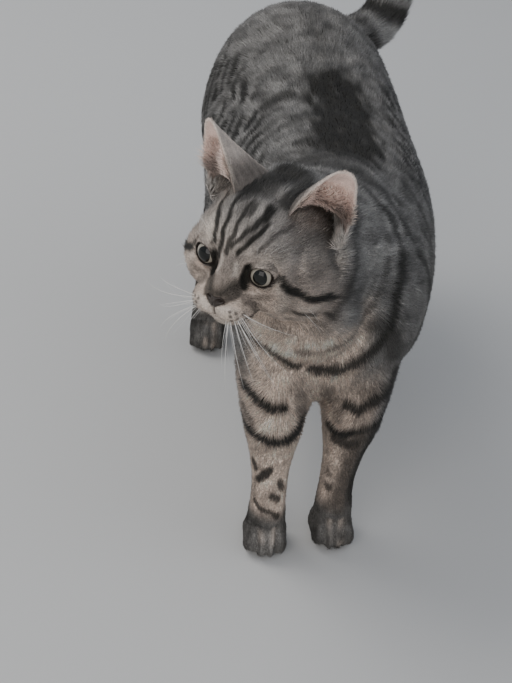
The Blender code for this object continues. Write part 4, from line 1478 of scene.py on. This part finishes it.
# The longer whiskers, in the head's millimetres: root, middle and tip, on the right and the left.
WHISKERS = (
    ((-11, -53, -21), (-38, -60, -25), (-57, -54, -25)),
    ((-12, -54, -23), (-30, -61, -30), (-43, -57, -40)),
    ((-11, -54, -25), (-29, -62, -40), (-39, -58, -57)),
    ((-12, -53, -26), (-27, -60, -46), (-34, -58, -66)),
    ((-10, -54, -27), (-14, -61, -37), (-16, -60, -48)),
    ((-14, -52, -22), (-36, -56, -20), (-50, -48, -22)),
    ((-15, -51, -25), (-33, -57, -36), (-48, -48, -44)),
    ((11, -53, -26), (17, -62, -54), (20, -60, -82)),
    ((12, -54, -26), (25, -61, -50), (33, -58, -75)),
    ((14, -53, -25), (30, -60, -46), (39, -56, -69)),
    ((15, -52, -24), (36, -58, -42), (50, -53, -62)),
    ((14, -52, -25), (40, -58, -44), (57, -50, -73)),
    ((17, -50, -23), (42, -56, -38), (62, -44, -58)),
    ((16, -52, -23), (29, -54, -33), (40, -47, -55)),
    ((18, -50, -22), (38, -50, -24), (58, -38, -30)),
    ((10, -54, -27), (13, -61, -44), (14, -60, -64)),
)


# ---------------------------------------------------------------------------------------------
# The add-on
# ---------------------------------------------------------------------------------------------


def length_property(name, description, millimetres):
    """A length that a user may change."""
    return FloatProperty(name=name, description=description, default=millimetres * MM, unit="LENGTH")


def colour_property(name, description, colour):
    """A colour that a user may change."""
    return FloatVectorProperty(
        name=name, description=description, default=colour, subtype="COLOR", min=0.0, max=1.0
    )


class CatSizes(bpy.types.PropertyGroup):
    """Sizes that a user may change."""

    head_nod: FloatProperty(
        name="Head nod",
        description="How far the head is tipped back about the line between the eyes",
        default=math.radians(1.6),
        unit="ROTATION",
    )
    eye_opening: length_property("Eye opening", "Width between the lids", 15.6)
    pupil: length_property("Pupil", "Width of the pupil", 10.8)
    iris: length_property("Iris", "Width of the iris", 15.8)
    lid_thickness: length_property("Lid thickness", "Thickness of the eyelids", 0.95)
    ear_thickness: length_property("Ear thickness", "Thickness of the ears without hair", 1.5)
    brow_whisker: length_property("Brow whiskers", "Length of the whiskers over the eyes", 26.0)
    whisker_width: length_property("Whisker width", "Width of a whisker at its root", 0.55)
    coat_seed: IntProperty(name="Coat seed", description="Start of the coat's random draws", default=11)


class CatColours(bpy.types.PropertyGroup):
    """Colours that a user may change."""

    silver: colour_property("Silver", "Ground colour of the back and flanks", (0.310, 0.298, 0.282))
    buff: colour_property("Buff", "Ground colour of the face, chest and legs", (0.65, 0.535, 0.45))
    cream: colour_property("Cream", "Pale patches of the face", (0.86, 0.77, 0.68))
    dark: colour_property("Dark", "Tabby markings", (0.020, 0.018, 0.014))
    ear: colour_property("Ear", "Bare inside of the ears", (0.84, 0.65, 0.575))
    ear_back: colour_property("Ear back", "Backs of the ears", (0.56, 0.50, 0.455))
    lid: colour_property("Lid", "Edges of the lids and lips", (0.022, 0.016, 0.013))
    iris: colour_property("Iris", "Iris near the pupil", (0.33, 0.30, 0.245))
    iris_pale: colour_property("Pale iris", "Spokes of the iris", (0.47, 0.425, 0.365))
    nose: colour_property("Nose", "Nose leather", (0.037, 0.027, 0.021))
    nose_edge: colour_property("Nose edge", "Darker parts of the nose leather", (0.026, 0.017, 0.013))
    whisker: colour_property("Whisker", "Whiskers", (0.86, 0.84, 0.80))
    floor: colour_property("Floor", "The pale floor", (0.62, 0.62, 0.61))


class MakeSkin(bpy.types.Operator):
    """One skin over all of the flesh, with lids, lips and ears, in the coat's markings"""

    bl_idname = "cat.make_skin"
    bl_label = "Make skin"

    def execute(self, context):
        scene = context.scene
        skin = make_skin(scene.cat_sizes, scene.cat_colours)
        flesh = [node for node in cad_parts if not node.startswith(("eye", "nose", "whisker"))]
        finish_piece(skin, skin_paint(), "coat", *flesh)
        return {"FINISHED"}


class MakeEyes(bpy.types.Operator):
    """Eyeballs with a bulging clear front, an iris and a pupil"""

    bl_idname = "cat.make_eyes"
    bl_label = "Make eyes"

    def execute(self, context):
        sizes = context.scene.cat_sizes
        paint = eye_paint(context.scene.cat_colours, sizes)
        radius = eye_radius()
        for side, node in ((-1, "eye_right"), (1, "eye_left")):
            centre, outward, up, gaze = eye_frame(side)
            turn = math.radians(GAZE_TURNS[side])
            outward, gaze = (
                outward * math.cos(turn) + gaze * math.sin(turn),
                gaze * math.cos(turn) - outward * math.sin(turn),
            )
            sphere = {"segments": 64, "ring_count": 48, "radius": 1.0}
            ball = added("eyeball_" + node[4:], bpy.ops.mesh.primitive_uv_sphere_add, **sphere)
            points = places(ball)
            off = np.hypot(points[:, 0], points[:, 1])
            bulge = ramp(off, 0.80, 0.30) * (points[:, 2] > 0)
            points = points * (radius - 0.15) + bulge[:, None] * (0.0, 0.0, 1.0)
            keep(ball, "gaze", points)
            local = centre + points[:, :1] * outward + points[:, 1:2] * up + points[:, 2:] * gaze
            place_all(ball, out_of_head(local))
            turn_faces_out(ball)
            ball.data.shade_smooth()
            finish_piece(ball, paint, "eye", node)
        return {"FINISHED"}


def front_of_head(x, z):
    """How far forward the solids' face is at each place across and up, in the head's millimetres."""
    trees = []
    for node in ("nose", "head", "jaw"):
        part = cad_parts[node]
        faces = [list(face.vertices) for face in part.data.polygons]
        trees.append(BVHTree.FromPolygons(in_head(places(part)).tolist(), faces))
    found = []
    for across, up in zip(x, z):
        start = Vector((across, -90.0, up))
        hits = [tree.ray_cast(start, Vector(BACKWARDS))[0] for tree in trees]
        found.append(min((hit.y for hit in hits if hit is not None), default=-50.0))
    return np.array(found)


class MakeNose(bpy.types.Operator):
    """The nose leather with its two nostrils"""

    bl_idname = "cat.make_nose"
    bl_label = "Make nose"

    def execute(self, context):
        grid = {"x_subdivisions": 56, "y_subdivisions": 44, "size": 2.0}
        nose = added("nose_leather", bpy.ops.mesh.primitive_grid_add, **grid)
        across, down = places(nose)[:, :2].T
        fall = (1.0 - down) / 2
        x = across * nose_half_width(fall)
        z = NOSE_TOP - NOSE_HEIGHT * fall + 1.2 * across**2 * ramp(fall, 0.25, 0.0)
        y = relaxed(front_of_head(x, z), edges(nose), 12)
        y += 0.25 - 0.5 * ramp(np.abs(x), 5.0, 1.0) * ramp(fall, 0.1, 0.3)
        for side in SIDES:
            hole = np.hypot((x - 3.7 * side) / 1.5, (z + 15.4) / 1.2)
            slit = np.hypot((x - 6.0 * side) / 1.9, (z + 15.2 - 0.35 * (side * x - 6.0)) / 0.7)
            y += 2.6 * bell(hole, 1.0) + 1.6 * bell(slit, 1.0)
        y += 0.7 * bell(x, 0.45) * ramp(fall, 0.3, 0.5)
        edge = np.maximum(np.abs(across), np.abs(down))
        y += 1.5 * ramp(edge, 0.84, 1.0)
        place_all(nose, out_of_head(np.stack([x, y, z], 1)))
        applied(nose, "SOLIDIFY", thickness=1.6 * MM, offset=-1.0)
        turn_faces_out(nose)
        nose.data.shade_smooth()
        finish_piece(nose, nose_paint(context.scene.cat_colours), "nose_leather", "nose")
        return {"FINISHED"}


class MakeCoat(bpy.types.Operator):
    """Thin overlapping tufts all over the skin, along the lie of the coat"""

    bl_idname = "cat.make_coat"
    bl_label = "Make coat"

    def execute(self, context):
        skin = bpy.data.objects.get("skin")
        if skin is None:
            raise RuntimeError("the coat grows on the skin: make the skin first")
        seed = context.scene.cat_sizes.coat_seed
        roots = roots_on(skin, 1.0)
        paint = coat_paint()
        for index, name in enumerate(PATCHES):
            mine = np.nonzero(roots["patch"] == index)[0]
            pieces = max(1, math.ceil(len(mine) / TUFTS_IN_PIECE))
            order = np.argsort(roots["at"][mine, 1], kind="stable")
            for number, chosen in enumerate(np.array_split(mine[order], pieces)):
                label = name if pieces == 1 else f"{name}_{number + 1}"
                chosen_roots = {key: value[chosen] for key, value in roots.items()}
                piece = tufts(label, chosen_roots, seed + index, context.scene.cat_colours)
                finish_piece(piece, paint, "coat")
        return {"FINISHED"}


class MakeWhiskers(bpy.types.Operator):
    """Whiskers on the muzzle, brows and cheeks"""

    bl_idname = "cat.make_whiskers"
    bl_label = "Make whiskers"

    def execute(self, context):
        sizes, colours = context.scene.cat_sizes, context.scene.cat_colours
        draw = np.random.default_rng(5)
        paths, radii = [], []

        def grow(root, bend, tip, share):
            paths.append(out_of_head(curve_through(root, bend, tip)))
            radii.append(sizes.whisker_width / 2 * share)

        for hair in WHISKERS:
            grow(*hair, draw.uniform(0.75, 1.05))
            # A finer one grows beside each.
            beside = np.array(hair) + draw.normal(0.0, 1.0, (3, 3)) * ((0.8,), (2.0,), (4.0,))
            beside[1:] += (beside[0] - beside[1:]) * draw.uniform(0.12, 0.45)
            grow(*beside, draw.uniform(0.4, 0.6))
        for side in SIDES:
            for place in range(4):
                root = np.array((side * (17.0 + 3.4 * place), -36.0 + 2.4 * place, 15.0 + 1.4 * place))
                way = np.array((side * (0.25 + 0.22 * place), -0.5 + 0.05 * place, 1.0 - 0.1 * place))
                length = unit(way) * sizes.brow_whisker / MM * draw.uniform(0.7, 1.05)
                tip = root + length + (0.0, 7.0, 0.0)
                grow(root, (root + tip) / 2 + (0.0, -4.0, 1.0), tip, 0.36)
            for place in range(2):
                root = np.array((side * (44.0 + 2.0 * place), -14.0, -20.0 - 7.0 * place))
                tip = root + (side * 15.0, 4.0, -13.0)
                grow(root, (root + tip) / 2 + (side * 2.0, -2.0, 2.0), tip, 0.45)
        whiskers = strands("whiskers", paths, radii)
        nodes = [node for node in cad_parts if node.startswith("whisker")]
        finish_piece(whiskers, whisker_paint(colours), "whisker", *nodes)
        return {"FINISHED"}


# The lights' names, places, widths (metres), powers (watts) and colours, and where they point.
LIGHTS = (
    ("window", (-1.5, 0.9, 1.9), 1.6, 28.0, (1.0, 0.98, 0.95)),
    ("front fill", (-0.9, -2.2, 1.2), 2.0, 26.0, (1.0, 0.95, 0.9)),
    ("side fill", (2.2, -0.4, 1.3), 1.8, 3.0, (0.86, 0.93, 1.0)),
)
LIT_PLACE = (-0.02, -0.05, 0.18)
CAMERA_TURNS = (32.25, 8.3, 10.0)  # down, over to its side and round, in degrees
CAMERA_FROM_EYE = (-150.31, -860.46, 495.44)  # from the left eye, in millimetres
LENS = 79.06  # the focal length, in millimetres


class MakeStage(bpy.types.Operator):
    """The pale floor, the soft lights and the camera"""

    bl_idname = "cat.make_stage"
    bl_label = "Make stage"

    def execute(self, context):
        floor = added("floor", bpy.ops.mesh.primitive_plane_add, size=12.0)
        floor.data.materials.append(floor_paint(context.scene.cat_colours))
        floor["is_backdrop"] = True
        world = bpy.data.worlds.new("studio")
        world.use_nodes = True
        backdrop = world.node_tree.nodes["Background"]
        backdrop.inputs["Color"].default_value = (0.86, 0.91, 1.0, 1.0)
        backdrop.inputs["Strength"].default_value = 0.5
        context.scene.world = world
        for name, place, size, power, colour in LIGHTS:
            light = added(name, bpy.ops.object.light_add, type="AREA", location=place)
            light.data.size = size
            light.data.energy = power
            light.data.color = colour
            way = Vector(LIT_PLACE) - Vector(place)
            light.rotation_euler = way.to_track_quat("-Z", "Y").to_euler()
        add_camera(context)
        return {"FINISHED"}


def add_camera(context):
    """The camera, above and in front of the cat, looking down at it with a slight roll."""
    pitch, roll, yaw = (math.radians(angle) for angle in CAMERA_TURNS)
    ahead = Vector((0.0, math.cos(pitch), -math.sin(pitch)))
    upward = Vector((0.0, math.sin(pitch), math.cos(pitch)))
    level = Vector((1.0, 0.0, 0.0))
    right = math.cos(roll) * level + math.sin(roll) * upward
    up = -math.sin(roll) * level + math.cos(roll) * upward
    turn = Matrix((right, up, -ahead)).transposed()
    turn = Matrix.Rotation(-yaw, 3, "Z") @ turn
    camera = added("camera", bpy.ops.object.camera_add)
    place = middle("eye_left") + Vector(CAMERA_FROM_EYE) * MM
    camera.matrix_world = Matrix.Translation(place) @ turn.to_4x4()
    camera.data.sensor_width = 36.0
    camera.data.lens = LENS
    context.scene.camera = camera


PIECES = (MakeSkin, MakeEyes, MakeNose, MakeCoat, MakeWhiskers, MakeStage)


class CatPanel(bpy.types.Panel):
    """Lists the cat's sizes, colours and pieces"""

    bl_idname = "VIEW3D_PT_cat"
    bl_label = "Tabby cat"
    bl_space_type = "VIEW_3D"
    bl_region_type = "UI"
    bl_category = "Cat"

    def draw(self, context):
        for group in (context.scene.cat_sizes, context.scene.cat_colours):
            column = self.layout.column()
            for name in group.__annotations__:
                column.prop(group, name)
        for piece in PIECES:
            self.layout.operator(piece.bl_idname)


CLASSES = (CatSizes, CatColours, *PIECES, CatPanel)


def register():
    """Registers the classes and the scene's sizes and colours."""
    for item in CLASSES:
        bpy.utils.register_class(item)
    bpy.types.Scene.cat_sizes = PointerProperty(type=CatSizes)
    bpy.types.Scene.cat_colours = PointerProperty(type=CatColours)


def unregister():
    """Undoes register()."""
    del bpy.types.Scene.cat_sizes
    del bpy.types.Scene.cat_colours
    for item in reversed(CLASSES):
        bpy.utils.unregister_class(item)


def main():
    """Makes the whole cat and its stage, and works out how large it came out."""
    register()
    for piece in PIECES:
        module, name = piece.bl_idname.split(".")
        getattr(getattr(bpy.ops, module), name)()
    boxes = {"cad": CAD_BOX, "visual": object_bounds()}
    boxes = {name: [list(corner) for corner in box] for name, box in boxes.items()}


if __name__ == "__main__":
    main()
